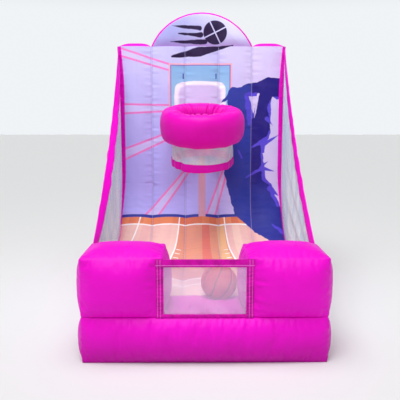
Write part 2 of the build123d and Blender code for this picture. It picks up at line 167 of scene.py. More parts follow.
def minus(tree, one, two):
    return calc(tree, "SUBTRACT", one, two)


def times(tree, one, two):
    return calc(tree, "MULTIPLY", one, two)


def blend(tree, below, above, mask):
    """One colour laid over another. The colours are dyes or sockets, and the mask a number or a socket."""
    node = tree.nodes.new("ShaderNodeMix")
    node.data_type = "RGBA"
    for key, value in (("A", below), ("B", above), ("Factor", mask)):
        if isinstance(value, (tuple, float, int)):
            node.inputs[key].default_value = value
        else:
            tree.links.new(value, node.inputs[key])
    return node.outputs["Result"]


def ramp(tree, value, low, high, to_low=0.0, to_high=1.0):
    """A smooth change from one level to another as the value goes from low to high."""
    node = tree.nodes.new("ShaderNodeMapRange")
    node.interpolation_type = "SMOOTHSTEP"
    for key, level in (("From Min", low), ("From Max", high), ("To Min", to_low), ("To Max", to_high)):
        node.inputs[key].default_value = level
    tree.links.new(value, node.inputs["Value"])
    return node.outputs["Result"]


def mottle(tree, place, scale, detail=4.0):
    node = tree.nodes.new("ShaderNodeTexNoise")
    node.inputs["Scale"].default_value = scale
    node.inputs["Detail"].default_value = detail
    tree.links.new(place, node.inputs["Vector"])
    return node.outputs["Fac"]


def raise_surface(tree, shader, height, distance, strength, under=None):
    node = tree.nodes.new("ShaderNodeBump")
    node.inputs["Strength"].default_value = strength
    node.inputs["Distance"].default_value = distance
    tree.links.new(height, node.inputs["Height"])
    if under is not None:
        tree.links.new(under, node.inputs["Normal"])
    tree.links.new(node.outputs["Normal"], shader.inputs["Normal"])
    return node.outputs["Normal"]


def split(tree, vector):
    """A place's X, Y and Z."""
    node = tree.nodes.new("ShaderNodeSeparateXYZ")
    tree.links.new(vector, node.inputs["Vector"])
    return node.outputs


def bands(tree, place, axis, scale, distortion=0.0):
    """Threads or ribs side by side along an axis."""
    node = tree.nodes.new("ShaderNodeTexWave")
    node.bands_direction = axis
    node.inputs["Scale"].default_value = scale
    node.inputs["Distortion"].default_value = distortion
    tree.links.new(place, node.inputs["Vector"])
    return node.outputs["Fac"]


def add_weave(tree, shader, place, weave=900.0, crease=0.3):
    """Warp and weft threads with uneven tension, and the soft creases of a cloth that has been folded."""
    threads = [bands(tree, place, axis, weave, 0.4) for axis in "XYZ"]
    crossed = plus(tree, plus(tree, threads[0], threads[1]), threads[2])
    fine = raise_surface(tree, shader, crossed, 0.0004, 0.08)
    raise_surface(tree, shader, mottle(tree, place, 16.0, 3.0), 0.005, crease, fine)


def cloth_paint(name, colour, dark, sheen=0.03, scuff_and_low_shade=0.58):
    """Coated nylon: a fine weave over faint blotches of tone, with painted shade that darkens it towards
    the floor.
    """
    paint, tree, shader, place = new_paint(name, 0.46, sheen)
    blotch = ramp(tree, mottle(tree, place, 6.0), 0.35, 0.85, 0.0, 0.35)
    colour = blend(tree, colour, dark, blotch)
    # Painted shade: the colour darkens towards the floor, below the set height.
    painted_low_shade = ramp(tree, split(tree, place)["Z"], 0.0, LOW_SHADE_HEIGHT, scuff_and_low_shade, 0.0)
    low_shade_tone = tuple(c * 0.5 for c in dark[:3]) + (1,)
    tree.links.new(blend(tree, colour, low_shade_tone, painted_low_shade), shader.inputs["Base Color"])
    add_weave(tree, shader, place)
    return paint


pink_cloth = cloth_paint("pink_cloth", PINK, PINK_DEEP)
hem_cloth = cloth_paint("hem_cloth", dye(205, 2, 160), dye(180, 0, 140))


def to_piece(name, cloth):
    """Makes a finished mesh a piece of its own."""
    mesh = bpy.data.meshes.new(name)
    cloth.to_mesh(mesh)
    cloth.free()
    piece = bpy.data.objects.new(name, mesh)
    bpy.context.collection.objects.link(piece)
    return piece


def pick(piece):
    """Selects one piece and nothing else."""
    bpy.ops.object.select_all(action="DESELECT")
    bpy.context.view_layer.objects.active = piece
    piece.select_set(True)


def cloth_box(name, counts, place, skins):
    """A closed cloth box, count by count by count, with each point put where place(a, b, c) says.

    a, b and c go from 0 to 1 along the box. skins gives each panel's finish, with the last for the rest."""
    cloth = bmesh.new()
    run = cloth.loops.layers.uv.new("run")
    points, marks = {}, {}

    def point(key):
        if key not in points:
            spot, mark = place(*(k / n for k, n in zip(key, counts)))
            points[key] = cloth.verts.new(spot)
            marks[points[key]] = mark
        return points[key]

    for axis in range(3):
        one, two = (axis + 1) % 3, (axis + 2) % 3
        for side in (0, 1):
            finish = skins.get((axis, side), skins["rest"])
            for i in range(counts[one]):
                for j in range(counts[two]):
                    corners = []
                    for di, dj in ((0, 0), (1, 0), (1, 1), (0, 1)):
                        key = [0, 0, 0]
                        key[axis], key[one], key[two] = side * counts[axis], i + di, j + dj
                        corners.append(point(tuple(key)))
                    if side == 0:
                        corners.reverse()
                    panel = cloth.faces.new(corners)
                    panel.material_index = finish
                    panel.smooth = True
                    for loop in panel.loops:
                        loop[run].uv = marks[loop.vert]
    bmesh.ops.remove_doubles(cloth, verts=cloth.verts, dist=0.00002)
    bmesh.ops.recalc_face_normals(cloth, faces=cloth.faces)
    return to_piece(name, cloth)


def blow_up(piece, held, slack, frames=12, cap=0.020, stiffness=10.0):
    """Fills a closed cloth with air. The held vertices stay put, and slack is the spare cloth."""
    start = [v.co.copy() for v in piece.data.vertices]
    seams = piece.vertex_groups.new(name="seams")
    seams.add(held, 1.0, "REPLACE")
    for v in piece.data.vertices:
        v.co += Vector([random.uniform(-1, 1) for _ in range(3)]) * 0.0004
    air = piece.modifiers.new("air", "CLOTH")
    air.settings.quality = 5
    air.settings.mass = 0.15
    air.settings.tension_stiffness = stiffness
    air.settings.compression_stiffness = stiffness
    air.settings.shear_stiffness = 4.0
    air.settings.bending_stiffness = 0.3
    air.settings.vertex_group_mass = "seams"
    air.settings.pin_stiffness = 1.0
    air.settings.shrink_min = -slack
    air.settings.use_pressure = True
    air.settings.uniform_pressure_force = AIR_PRESSURE
    air.settings.effector_weights.gravity = 0
    air.collision_settings.use_collision = False
    air.point_cache.frame_end = frames
    for step in range(1, frames + 1):
        bpy.context.scene.frame_set(step)
    blown = piece.evaluated_get(bpy.context.evaluated_depsgraph_get())
    moved = [v.co.copy() for v in blown.data.vertices]
    piece.modifiers.clear()
    piece.vertex_groups.clear()
    bpy.context.scene.frame_set(1)
    for v, rest, end in zip(piece.data.vertices, start, moved):
        step = end - rest
        v.co = rest + step * min(1.0, cap / max(step.length, 1e-9))


def finish_cloth(piece, paints, nodes, finer=1, crease=180):
    """Subdivides and smooths a soft piece, gives it its finishes and says what it stands for."""
    pick(piece)
    for paint in paints:
        piece.data.materials.append(paint)
    if finer:
        smooth = piece.modifiers.new("smooth", "SUBSURF")
        smooth.levels = smooth.render_levels = finer
        bpy.ops.object.modifier_apply(modifier="smooth")
    bpy.ops.object.shade_smooth_by_angle(angle=math.radians(crease))
    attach(piece, "inflatable")
    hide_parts(*nodes)
    return piece


def panel_of(spot, low, high):
    """The panel a flat point is on, as its axis and the side it faces."""
    axis = min(range(3), key=lambda i: min(abs(spot[i] - low[i]), abs(spot[i] - high[i])))
    return axis, 1 if abs(spot[axis] - high[axis]) < abs(spot[axis] - low[axis]) else -1


def gather(v, spot, low, high):
    """Puckers the cloth beside each sewn edge of its panel, and leaves faint dents further in."""
    axis, side = panel_of(spot, low, high)
    out = 0.003 * noise.noise(spot * 5 + Vector((axis * 3.1, side, 0)))
    for other in range(3):
        if other == axis:
            continue
        run = spot[3 - axis - other]
        for seam, edge in enumerate((low, high)):
            gap = abs(spot[other] - edge[other])
            phase = axis * 2.3 + other * 1.1 + seam * 4.7 + side
            loose = 1.1 + uneven(run * 6, phase, 0.0)
            ridge = sum(math.sin(run * math.tau / wave + phase * wave * 300) for wave in GATHER_WAVES)
            out += GATHER * loose * ridge * math.exp(-gap / 0.032) * min(1, gap / 0.014)
    v.co[axis] += side * out


def pull_from_window(v, spot, gap, low_z, high_z):
    """Creases that run out from the window's stitched bindings across a block's front panel."""
    fan = (spot.z - low_z) / (high_z - low_z) - 0.5
    level = spot.z - fan * gap * 0.5
    ridge = sum(math.sin(level * math.tau / wave + wave * 210) for wave in (0.031, 0.047, 0.072))
    loose = 1.0 + 1.4 * uneven(level * 14, spot.x, 0.0)
    v.co.y -= 0.0019 * ridge * loose * math.exp(-max(gap, 0) / 0.050) * min(1, max(gap, 0) / 0.012)


def air_box(node, rests, hem_x=None):
    """A sewn box chamber. rests(point, panels) says where a neighbour or a seam holds it flat.

    hem_x is how far from the middle the window's bindings hold the front panel down."""
    low, high = (Vector(c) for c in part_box(node))
    counts = [max(3, round((high[i] - low[i]) / CHAMBER_MESH)) for i in range(3)]

    def place(a, b, c):
        spot = Vector(start + (end - start) * share for start, end, share in zip(low, high, (a, b, c)))
        return spot, (spot.x, spot.z)

    piece = cloth_box(node + "_cloth", counts, place, {"rest": 0})
    flat = [v.co.copy() for v in piece.data.vertices]
    held = []
    for v in piece.data.vertices:
        on = [(i, s) for i in range(3) for s, edge in enumerate((low, high))
              if abs(v.co[i] - edge[i]) < 1e-5]
        if len(on) >= 2 or rests(v.co, on):
            held.append(v.index)
            continue
        axis, side = panel_of(v.co, low, high)
        full = FRONT_CROWN if (axis, side) == (1, -1) else CHAMBER_CROWN
        for other in (i for i in range(3) if i != axis):
            start, end = low[other], high[other]
            if hem_x and (axis, side, other) == (1, -1, 0):
                start, end = (start, -hem_x) if end < 0 else (hem_x, end)
            share = min(1, max(0, (flat[v.index][other] - start) / (end - start)))
            full *= (1 - abs(2 * share - 1) ** 2.6) ** 0.75
        v.co[axis] += side * full
    blow_up(piece, held, CHAMBER_SLACK)
    for v in piece.data.vertices:
        if v.index in held:
            continue
        gather(v, flat[v.index], low, high)
        if hem_x and panel_of(flat[v.index], low, high) == (1, -1):
            pull_from_window(v, flat[v.index], abs(flat[v.index].x) - hem_x, low.z, high.z)
    return finish_cloth(piece, [pink_cloth], [node])


window_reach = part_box("window_flap_right")[1][0] + 0.004
block_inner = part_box("corner_block_right")[0][0]
ball_middle = (Vector(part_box("ball")[0]) + Vector(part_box("ball")[1])) / 2


def beam_rests(spot, panels):
    near_ball = (spot.xy - ball_middle.xy).length < 0.11
    return (2, 0) in panels or ((2, 1) in panels and (abs(spot.x) > block_inner - 0.01 or near_ball))


def block_rests(spot, panels):
    return (2, 0) in panels or ((1, 0) in panels and abs(spot.x) < window_reach)


air_box("front_beam", beam_rests)
air_box("corner_block_left", block_rests, window_reach)
air_box("corner_block_right", block_rests, window_reach)


# ---------------------------------------------------------------- printed wall, court and header
# One printed panel of nylon runs down the wall, round the curve and along the court. Webs sewn in behind it
# part it into five chambers side by side, so it stands out between the seams and puckers along them.
SKIN_MESH = 0.012
BULGE = 0.028
SIDE_CROWN = 0.012
SEAM_LIFT = 0.0009
PUCKER = 0.0030
PUCKER_WAVES = (0.033, 0.049, 0.079)
wall_low, wall_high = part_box("wall_cell_1")
COURT_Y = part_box("front_beam")[1][1]
COURT_START_Z = 0.275
SLOPE = math.radians(4.65)
CURVE_R = 0.560
WALL_Y = wall_low[1] + BULGE
BACK_Y = wall_high[1] - BULGE
FLOOR_Z = wall_low[2]
WALL_TOP = wall_high[2]
FOOT_Z = COURT_START_Z + (WALL_Y - COURT_Y) * math.tan(SLOPE)
CURVE_CENTRE = Vector((WALL_Y - CURVE_R, FOOT_Z + CURVE_R * math.tan((math.pi / 2 - SLOPE) / 2)))
CURVE_TOP_Z = CURVE_CENTRE.y
SLOPE_RUN = (CURVE_CENTRE.x + CURVE_R * math.sin(SLOPE) - COURT_Y) / math.cos(SLOPE)
CURVE_RUN = CURVE_R * (math.pi / 2 - SLOPE)
COURT_RUN = SLOPE_RUN + CURVE_RUN
FULL_RUN = COURT_RUN + WALL_TOP - CURVE_TOP_Z


def seam_line(run):
    """The point (y, z) of the seams at a distance along the panel, and the way square off it."""
    if run < SLOPE_RUN:
        out = Vector((-math.sin(SLOPE), math.cos(SLOPE)))
        return Vector((COURT_Y + run * math.cos(SLOPE), COURT_START_Z + run * math.sin(SLOPE))), out
    if run < COURT_RUN:
        turn = SLOPE + (run - SLOPE_RUN) / CURVE_R
        out = Vector((-math.sin(turn), math.cos(turn)))
        return CURVE_CENTRE - out * CURVE_R, out
    return Vector((WALL_Y, CURVE_TOP_Z + run - COURT_RUN)), Vector((-1.0, 0.0))


def puckers(run, across, half, phase):
    """How far the gathered cloth stands in or out, at a place along a seam and across its chamber."""
    gap = half * (1 - abs(across))
    side = 17.0 if across > 0 else 0.0
    ridge = sum(math.sin(run * 6.283 / wave + phase * 2.1 + side * wave * 90) for wave in PUCKER_WAVES)
    swell = uneven(run * 4.0 + phase, across * 1.7 + side, phase)
    return PUCKER * ridge * math.exp(-gap / 0.034) * min(1, gap / 0.024) + 0.004 * swell * (1 - across ** 4)


def skin_out(run, across, half, phase):
    """How far a printed skin stands out from the plane of its seams."""
    crown = BULGE * (1 - abs(across) ** 2.3) + SEAM_LIFT
    curve = min(max((run - SLOPE_RUN * 0.7) / (COURT_RUN - SLOPE_RUN * 0.7), 0), 1)
    wrinkle = math.sin(run * 95 + 3 * uneven(across * 2, run * 3, phase))
    wrinkle *= math.sin(curve * math.pi)
    return crown + puckers(run, across, half, phase) + 0.0016 * wrinkle * (1 - across * across) ** 0.5


tie_points = [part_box(name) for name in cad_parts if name.startswith("anchor_loop")]
tie_points = [(low + high) / 2 for low, high in tie_points]


def side_out(y, z, edge, phase):
    """How far an outer side panel stands out. It stays flat where a tie patch is sewn on."""
    calm = 1.0
    for x, tie_y, tie_z in tie_points:
        if x * phase > 0:
            calm *= 1 - math.exp(-(((y - tie_y) ** 2 + (z - tie_z) ** 2) / 0.012))
    ripple = 0.0015 * math.sin((y + z) * 60 + 4 * uneven(y * 5, z * 5, phase)) * (1 - edge)
    swell = 0.004 * uneven(y * 4, z * 4, phase)
    return (SIDE_CROWN * edge ** 0.5 + ripple * 1.5 + swell) * calm


def court_place(low_x, high_x, number):
    half = (high_x - low_x) / 2

    def place(a, b, c):
        run = COURT_RUN * b
        line, out = seam_line(run)
        across = 2 * a - 1
        lift = skin_out(run, across, half, number * 1.7) * c
        x = low_x + (high_x - low_x) * a
        base = Vector((line.x, FLOOR_Z + (line.y - FLOOR_Z) * c))
        spot = base + out * (lift if c == 1 else 0)
        if (number, a) in ((1, 0), (5, 1)):
            side = -1 if a == 0 else 1
            x += side * side_out(spot.x, spot.y, min(1, 4 * c * (1 - c)), side)
        return Vector((x, max(spot.x, COURT_Y + 0.001), spot.y)), (x, run)

    return place


WALL_ROWS = round((WALL_TOP - FLOOR_Z) / SKIN_MESH)
FOOT_SHARE = round(WALL_ROWS * (CURVE_TOP_Z - FLOOR_Z) / (WALL_TOP - FLOOR_Z)) / WALL_ROWS
CAP_CROWN = 0.045


sewn_on = [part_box("zip_tape"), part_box("inlet_collar")]


def back_calm(x, z):
    """0 where the zip or the inlet is sewn on, so that the cloth lies smooth there, and 1 away from it."""
    gaps = [max(low.x - x, x - high.x, low.z - z, z - high.z) for low, high in sewn_on]
    return min(1.0, max(0.0, min(gaps) - 0.014) / 0.05)


def wall_place(low_x, high_x, number):
    half = (high_x - low_x) / 2
    under_header = number in (2, 3, 4)

    def place(a, b, c):
        x = low_x + (high_x - low_x) * a
        if c <= FOOT_SHARE:
            z = FLOOR_Z + (CURVE_TOP_Z - FLOOR_Z) * c / FOOT_SHARE
        else:
            z = CURVE_TOP_Z + (WALL_TOP - CURVE_TOP_Z) * (c - FOOT_SHARE) / (1 - FOOT_SHARE)
        across = 2 * a - 1
        run = COURT_RUN + z - CURVE_TOP_Z
        y = WALL_Y + (BACK_Y - WALL_Y) * b
        if b == 0 and c > FOOT_SHARE - 0.0001:
            y -= skin_out(run, across, half, number * 1.7)
        if b == 1:
            y += BULGE * (1 - abs(across) ** 2.3) + SEAM_LIFT
            y += puckers(run, across, half, number * 2.9) * back_calm(x, z)
        if c == 1 and not under_header:
            z += CAP_CROWN * (4 * b * (1 - b)) ** 0.6 * (1 - abs(across) ** 4)
        if (number, a) in ((1, 0), (5, 1)):
            side = -1 if a == 0 else 1
            x += side * side_out(y, z, min(1, 4 * b * (1 - b)), side)
        return Vector((x, y, z)), (x, run)

    return place


# The print: a plain gym in flat colours, with a window, a board on its pole, rays and a dark brushed sweep.
LAVENDER_TOP, LAVENDER_LOW = dye(202, 198, 246), dye(184, 180, 250)
ROSE_WALL = dye(218, 205, 243)
RAY_LIGHT, RAY_EDGE = dye(212, 205, 250), dye(240, 130, 200)
NAVY, NAVY_DARK, VIOLET, INK = dye(50, 62, 160), dye(36, 28, 124), dye(90, 74, 212), dye(38, 20, 58)
COURT_PEACH, COURT_ROSE = dye(247, 208, 190), dye(240, 186, 180)
LANE, LANE_DARK, LANE_LIGHT = dye(228, 154, 126), dye(228, 124, 108), dye(240, 188, 138)
SEAM_X = 0.15275
PLANK = 0.075
LANE_START = 0.33
SKIRTING_RUN = 1.49
STRIP_RUN = 1.41


def wall_run(z):
    return COURT_RUN + z - CURVE_TOP_Z


def between(tree, value, low, high, soft=0.003):
    """A mask that is 1 between two levels."""
    rise = ramp(tree, value, low - soft, low + soft)
    fall = ramp(tree, value, high - soft, high + soft, 1.0, 0.0)
    return times(tree, rise, fall)


def stroke_gap(tree, x, s, start, end, thin, thick):
    """The distance to a tapered brush stroke's edge, less than 0 inside it."""
    along = Vector(end) - Vector(start)
    from_x = minus(tree, x, start[0])
    from_s = minus(tree, s, start[1])
    share = plus(tree, times(tree, from_x, along.x), times(tree, from_s, along.y))
    share = calc(tree, "MAXIMUM", calc(tree, "DIVIDE", share, along.length_squared), 0.0)
    share = calc(tree, "MINIMUM", share, 1.0)
    off_x = minus(tree, from_x, times(tree, share, along.x))
    off_s = minus(tree, from_s, times(tree, share, along.y))
    square = plus(tree, times(tree, off_x, off_x), times(tree, off_s, off_s))
    reach = calc(tree, "MULTIPLY_ADD", share, thick - thin, thin)
    return minus(tree, calc(tree, "SQRT", square), reach)


def strokes_mask(tree, x, s, strokes, ragged, soft):
    """A mask that is 1 inside any of the brush strokes, with ragged edges."""
    nearest = None
    for start, end, thin, thick in strokes:
        gap = stroke_gap(tree, x, s, start, end, thin, thick)
        nearest = gap if nearest is None else calc(tree, "MINIMUM", nearest, gap)
    return ramp(tree, plus(tree, nearest, ragged), -soft, soft, 1.0, 0.0)


def paint_strokes(tree, x, s, ground, strokes, colour, ragged):
    """Lays brush strokes over the ground."""
    return blend(tree, ground, colour, strokes_mask(tree, x, s, strokes, ragged, 0.004))


def cloth_marks(tree):
    """The marks that a piece's cloth was given when it was cut, in metres on the flat cloth."""
    node = tree.nodes.new("ShaderNodeUVMap")
    node.uv_map = "run"
    return node.outputs["UV"]


def printed_panel():
    paint, tree, shader, place = new_paint("printed_panel", 0.5, 0.1)
    marks = cloth_marks(tree)
    parts = split(tree, marks)
    x, s = parts["X"], parts["Y"]
    tooth = tree.nodes.new("ShaderNodeTexNoise")
    tooth.noise_dimensions = "2D"
    tooth.inputs["Scale"].default_value = 9.0
    tooth.inputs["Detail"].default_value = 2.5
    tooth.inputs["Roughness"].default_value = 0.55
    tree.links.new(marks, tooth.inputs["Vector"])
    ragged = times(tree, minus(tree, tooth.outputs["Fac"], 0.5), 0.12)

    colour = blend(tree, LAVENDER_LOW, LAVENDER_TOP, ramp(tree, s, SKIRTING_RUN + 0.3, FULL_RUN))
    colour = blend(tree, colour, ROSE_WALL, ramp(tree, x, 0.0, 0.5, 0.0, 0.9))
    for start, end, thin, thick in (((-0.80, wall_run(2.13)), (-0.25, wall_run(1.96)), 0.030, 0.022),
                                    ((-0.80, wall_run(1.60)), (-0.20, wall_run(1.61)), 0.042, 0.020),
                                    ((-0.80, wall_run(1.15)), (-0.20, wall_run(1.40)), 0.046, 0.020),
                                    ((-0.52, wall_run(0.52)), (-0.10, wall_run(1.08)), 0.052, 0.014),
                                    ((0.06, wall_run(0.52)), (0.24, wall_run(1.10)), 0.040, 0.014)):
        gap = stroke_gap(tree, x, s, start, end, thin, thick)
        colour = blend(tree, colour, RAY_LIGHT, ramp(tree, gap, -0.01, 0.0, 0.8, 0.0))
        colour = blend(tree, colour, RAY_EDGE, between(tree, gap, -0.006, 0.012, 0.005))

    glass = ramp(tree, s, wall_run(1.6), wall_run(2.0))
    glass = blend(tree, dye(160, 205, 234), dye(140, 184, 226), glass)
    for left, right, low, high, tone in ((-0.300, 0.275, 1.55, 2.010, dye(240, 176, 190)),
                                         (-0.286, 0.261, 1.55, 1.996, dye(120, 96, 190)),
                                         (-0.279, 0.254, 1.55, 1.989, glass),
                                         (-0.175, -0.165, 1.87, 1.92, NAVY),
                                         (0.125, 0.135, 1.87, 1.92, NAVY)):
        mask = times(tree, between(tree, x, left, right),
                    between(tree, s, wall_run(low), wall_run(high)))
        colour = blend(tree, colour, tone, mask)

    off_x = calc(tree, "DIVIDE", calc(tree, "ABSOLUTE", plus(tree, x, 0.016)), 0.236)
    off_s = calc(tree, "DIVIDE", calc(tree, "ABSOLUTE", minus(tree, s, wall_run(1.66))), 0.190)
    board = plus(tree, calc(tree, "POWER", off_x, 5.0), calc(tree, "POWER", off_s, 5.0))
    board = times(tree, minus(tree, calc(tree, "POWER", board, 0.2), 1.0), 0.2)
    board = plus(tree, board, times(tree, ragged, 0.12))
    colour = blend(tree, colour, dye(250, 246, 254), ramp(tree, board, -0.004, 0.004, 1.0, 0.0))
    colour = blend(tree, colour, dye(216, 204, 243), ramp(tree, board, -0.05, -0.02, 1.0, 0.0))
    pole = times(tree, between(tree, x, -0.030, 0.034),
                between(tree, s, STRIP_RUN + 0.02, wall_run(1.5)))
    colour = blend(tree, colour, dye(214, 164, 186), pole)

    floor_mask = ramp(tree, s, SKIRTING_RUN - 0.004, SKIRTING_RUN + 0.004, 1.0, 0.0)
    plank = times(tree, x, calc(tree, "MULTIPLY_ADD", s, 0.25, 0.75))
    plank = calc(tree, "FLOOR", calc(tree, "DIVIDE", plank, PLANK))
    tone = tree.nodes.new("ShaderNodeTexWhiteNoise")
    tone.noise_dimensions = "1D"
    tree.links.new(plank, tone.inputs["W"])
    wide = times(tree, calc(tree, "ABSOLUTE", x), calc(tree, "MULTIPLY_ADD", s, 0.38, 0.60))
    court = blend(tree, COURT_PEACH, COURT_ROSE, tone.outputs["Value"])
    lane = blend(tree, LANE, LANE_DARK, ramp(tree, tone.outputs["Value"], 0.2, 0.6))
    lane = blend(tree, lane, LANE_LIGHT, ramp(tree, tone.outputs["Value"], 0.75, 0.85))
    past_start = ramp(tree, s, LANE_START, LANE_START + 0.01)
    lane_mask = times(tree, ramp(tree, wide, 0.234, 0.238, 1.0, 0.0), past_start)
    court = blend(tree, court, lane, lane_mask)
    white = calc(tree, "MAXIMUM", between(tree, wide, 0.234, 0.246, 0.002),
                 between(tree, wide, 0.655, 0.668, 0.002))
    white = times(tree, white, past_start)
    for line in (0.215, 0.335, STRIP_RUN - 0.006):
        white = calc(tree, "MAXIMUM", white, between(tree, s, line - 0.007, line + 0.007, 0.002))
    dash = calc(tree, "FRACT", calc(tree, "DIVIDE", s, 0.11))
    dash = times(tree, between(tree, dash, 0.40, 0.54, 0.02),
                between(tree, wide, 0.185, 0.225, 0.002))
    dash = times(tree, dash, between(tree, s, 0.5, 1.1))
    white = calc(tree, "MAXIMUM", white, dash)
    strip = blend(tree, dye(222, 120, 84), dye(240, 150, 100), tone.outputs["Value"])
    court = blend(tree, court, strip, ramp(tree, s, STRIP_RUN - 0.003, STRIP_RUN + 0.003))
    court = blend(tree, court, dye(255, 252, 250), white)
    colour = blend(tree, colour, court, floor_mask)
    skirting = times(tree, between(tree, s, SKIRTING_RUN - 0.006, SKIRTING_RUN + 0.024, 0.002),
                    minus(tree, 1.0, pole))
    colour = blend(tree, colour, NAVY, skirting)

    sweep = [((0.70, 1.30), (0.50, 1.62), 0.15, 0.215), ((0.50, 1.62), (0.40, 1.93), 0.215, 0.19),
             ((0.40, 1.93), (0.40, 2.25), 0.19, 0.135), ((0.40, 2.25), (0.335, 2.60), 0.135, 0.105),
             ((0.30, 2.66), (0.18, 2.570), 0.050, 0.004), ((0.52, 2.20), (0.58, 2.66), 0.105, 0.060),
             ((0.32, 2.665), (0.60, 2.700), 0.040, 0.085), ((0.60, 2.700), (0.80, 2.745), 0.085, 0.060),
             ((0.70, 2.66), (0.745, 2.58), 0.055, 0.025), ((0.76, 1.30), (0.70, 1.62), 0.13, 0.12)]
    torn = times(tree, ragged, 0.35)
    inside = strokes_mask(tree, x, s, sweep, torn, 0.003)
    shade = times(tree, ramp(tree, x, 0.455, 0.461), ramp(tree, s, 1.70, 1.95, 0.35, 1.0))
    colour = blend(tree, colour, blend(tree, NAVY, NAVY_DARK, shade), inside)
    gaps = [((0.705, 1.92), (0.700, 2.15), 0.115, 0.115), ((0.735, 2.32), (0.72, 2.52), 0.055, 0.075),
            ((0.585, 2.19), (0.700, 2.28), 0.012, 0.034), ((0.517, 2.64), (0.485, 2.43), 0.016, 0.004),
            ((0.700, 1.76), (0.735, 1.60), 0.030, 0.004), ((0.80, 1.78), (0.78, 1.62), 0.070, 0.030)]
    rims = [((x0 - 0.022, s0 - 0.004), (x1 - 0.024, s1 + 0.008), r0 + 0.012, r1 + 0.014)
            for (x0, s0), (x1, s1), r0, r1 in gaps]
    rims += [((0.440, 2.62), (0.440, 2.38), 0.046, 0.012), ((0.455, 2.150), (0.60, 2.235), 0.003, 0.030),
             ((0.400, 1.865), (0.56, 1.960), 0.002, 0.022), ((0.335, 2.135), (0.37, 2.065), 0.004, 0.006),
             ((0.62, 1.42), (0.76, 1.30), 0.002, 0.022)]
    violet = paint_strokes(tree, x, s, colour, rims, VIOLET, torn)
    colour = blend(tree, colour, violet, inside)
    colour = paint_strokes(tree, x, s, colour, gaps, ROSE_WALL, times(tree, ragged, 0.28))
    splinters = [((0.570, 2.185), (0.718, 2.275), 0.022, 0.002),
                 ((0.560, 1.965), (0.675, 1.935), 0.020, 0.001),
                 ((0.565, 1.990), (0.620, 2.030), 0.012, 0.001),
                 ((0.640, 1.77), (0.720, 1.70), 0.030, 0.002),
                 ((0.600, 2.42), (0.655, 2.36), 0.020, 0.001)]
    colour = paint_strokes(tree, x, s, colour, splinters, VIOLET, times(tree, ragged, 0.10))

    header_tone = blend(tree, dye(160, 160, 216), dye(212, 206, 240), ramp(tree, x, -0.35, 0.35))
    header_low = ramp(tree, s, wall_run(WALL_TOP), wall_run(WALL_TOP + 0.12), 0.7, 0.0)
    header_tone = blend(tree, header_tone, dye(160, 132, 200), header_low)
    colour = blend(tree, colour, header_tone, ramp(tree, s, FULL_RUN - 0.002, FULL_RUN + 0.002))
    icon_x, icon_s = 0.120, wall_run(2.285)
    icon_gap = stroke_gap(tree, x, s, (icon_x, icon_s), (icon_x + 0.001, icon_s), 0.106, 0.106)
    off_x, off_s = minus(tree, x, icon_x), minus(tree, s, icon_s)
    rising = calc(tree, "ABSOLUTE", plus(tree, off_x, times(tree, off_s, 0.5)))
    falling = calc(tree, "ABSOLUTE", minus(tree, off_s, times(tree, off_x, 0.5)))
    ink = times(tree, ramp(tree, icon_gap, -0.003, 0.003, 1.0, 0.0),
               ramp(tree, calc(tree, "MINIMUM", rising, falling), 0.004, 0.008))
    colour = blend(tree, colour, INK, ink)
    dashes = [((-0.27, wall_run(2.345)), (-0.02, wall_run(2.322)), 0.003, 0.022),
              ((-0.21, wall_run(2.276)), (-0.01, wall_run(2.262)), 0.004, 0.024),
              ((-0.28, wall_run(2.203)), (0.03, wall_run(2.203)), 0.005, 0.024),
              ((-0.27, wall_run(2.070)), (-0.02, wall_run(2.112)), 0.012, 0.042),
              ((-0.02, wall_run(2.112)), (0.28, wall_run(2.170)), 0.042, 0.006)]
    colour = paint_strokes(tree, x, s, colour, dashes, INK, times(tree, ragged, 0.14))

    edge = times(tree, between(tree, s, wall_run(0.75), wall_run(2.1), 0.35), 0.042)
    edge = plus(tree, calc(tree, "ABSOLUTE", x), edge)
    on_wall = ramp(tree, s, FULL_RUN, FULL_RUN + 0.002, 1.0, 0.0)
    edge = times(tree, ramp(tree, edge, 0.7485, 0.7515), on_wall)
    colour = blend(tree, colour, PINK, edge)
    seam_gap = calc(tree, "ABSOLUTE", minus(tree, calc(tree, "ABSOLUTE", x), 2 * SEAM_X))
    seam_gap = calc(tree, "ABSOLUTE", minus(tree, seam_gap, SEAM_X))
    # Painted shade: the printed colour darkens in the valley beside each seam on the wall.
    painted_seam_shade = times(tree, ramp(tree, seam_gap, 0.001, 0.020, 0.20, 0.0), on_wall)
    colour = blend(tree, colour, dye(96, 84, 150), painted_seam_shade)
    stitch = calc(tree, "FRACT", calc(tree, "DIVIDE", s, 0.008))
    stitch = times(tree, ramp(tree, stitch, 0.2, 0.3),
                  ramp(tree, seam_gap, 0.0008, 0.0024, 0.42, 0.0))
    colour = blend(tree, colour, dye(236, 234, 255), times(tree, stitch, on_wall))
    wear = ramp(tree, mottle(tree, place, 9.0), 0.3, 0.8, 0.0, 0.08)
    tree.links.new(blend(tree, colour, dye(120, 110, 170), wear), shader.inputs["Base Color"])
    add_weave(tree, shader, place, 900.0, 0.35)
    return paint


printed_cloth = printed_panel()
WEB_HALF = 0.0014
for number in range(1, 6):
    low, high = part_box(f"court_cell_{number}")
    low[0] -= WEB_HALF * (number > 1)
    high[0] += WEB_HALF * (number < 5)
    across = round((high[0] - low[0]) / SKIN_MESH)
    sides = {(0, 0): int(number == 1), (0, 1): int(number == 5)}
    piece = cloth_box(f"court_cloth_{number}", (across, round(COURT_RUN / SKIN_MESH), 14),
                      court_place(low[0], high[0], number), {(2, 1): 0, (1, 1): 0, "rest": 1, **sides})
    finish_cloth(piece, [printed_cloth, pink_cloth], [f"court_cell_{number}"],
                 finer=0, crease=50)
    piece = cloth_box(f"wall_cloth_{number}", (across, 24, WALL_ROWS),
                      wall_place(low[0], high[0], number), {(1, 0): 0, "rest": 1, **sides})
    finish_cloth(piece, [printed_cloth, pink_cloth], [f"wall_cell_{number}"],
                 finer=0, crease=50)


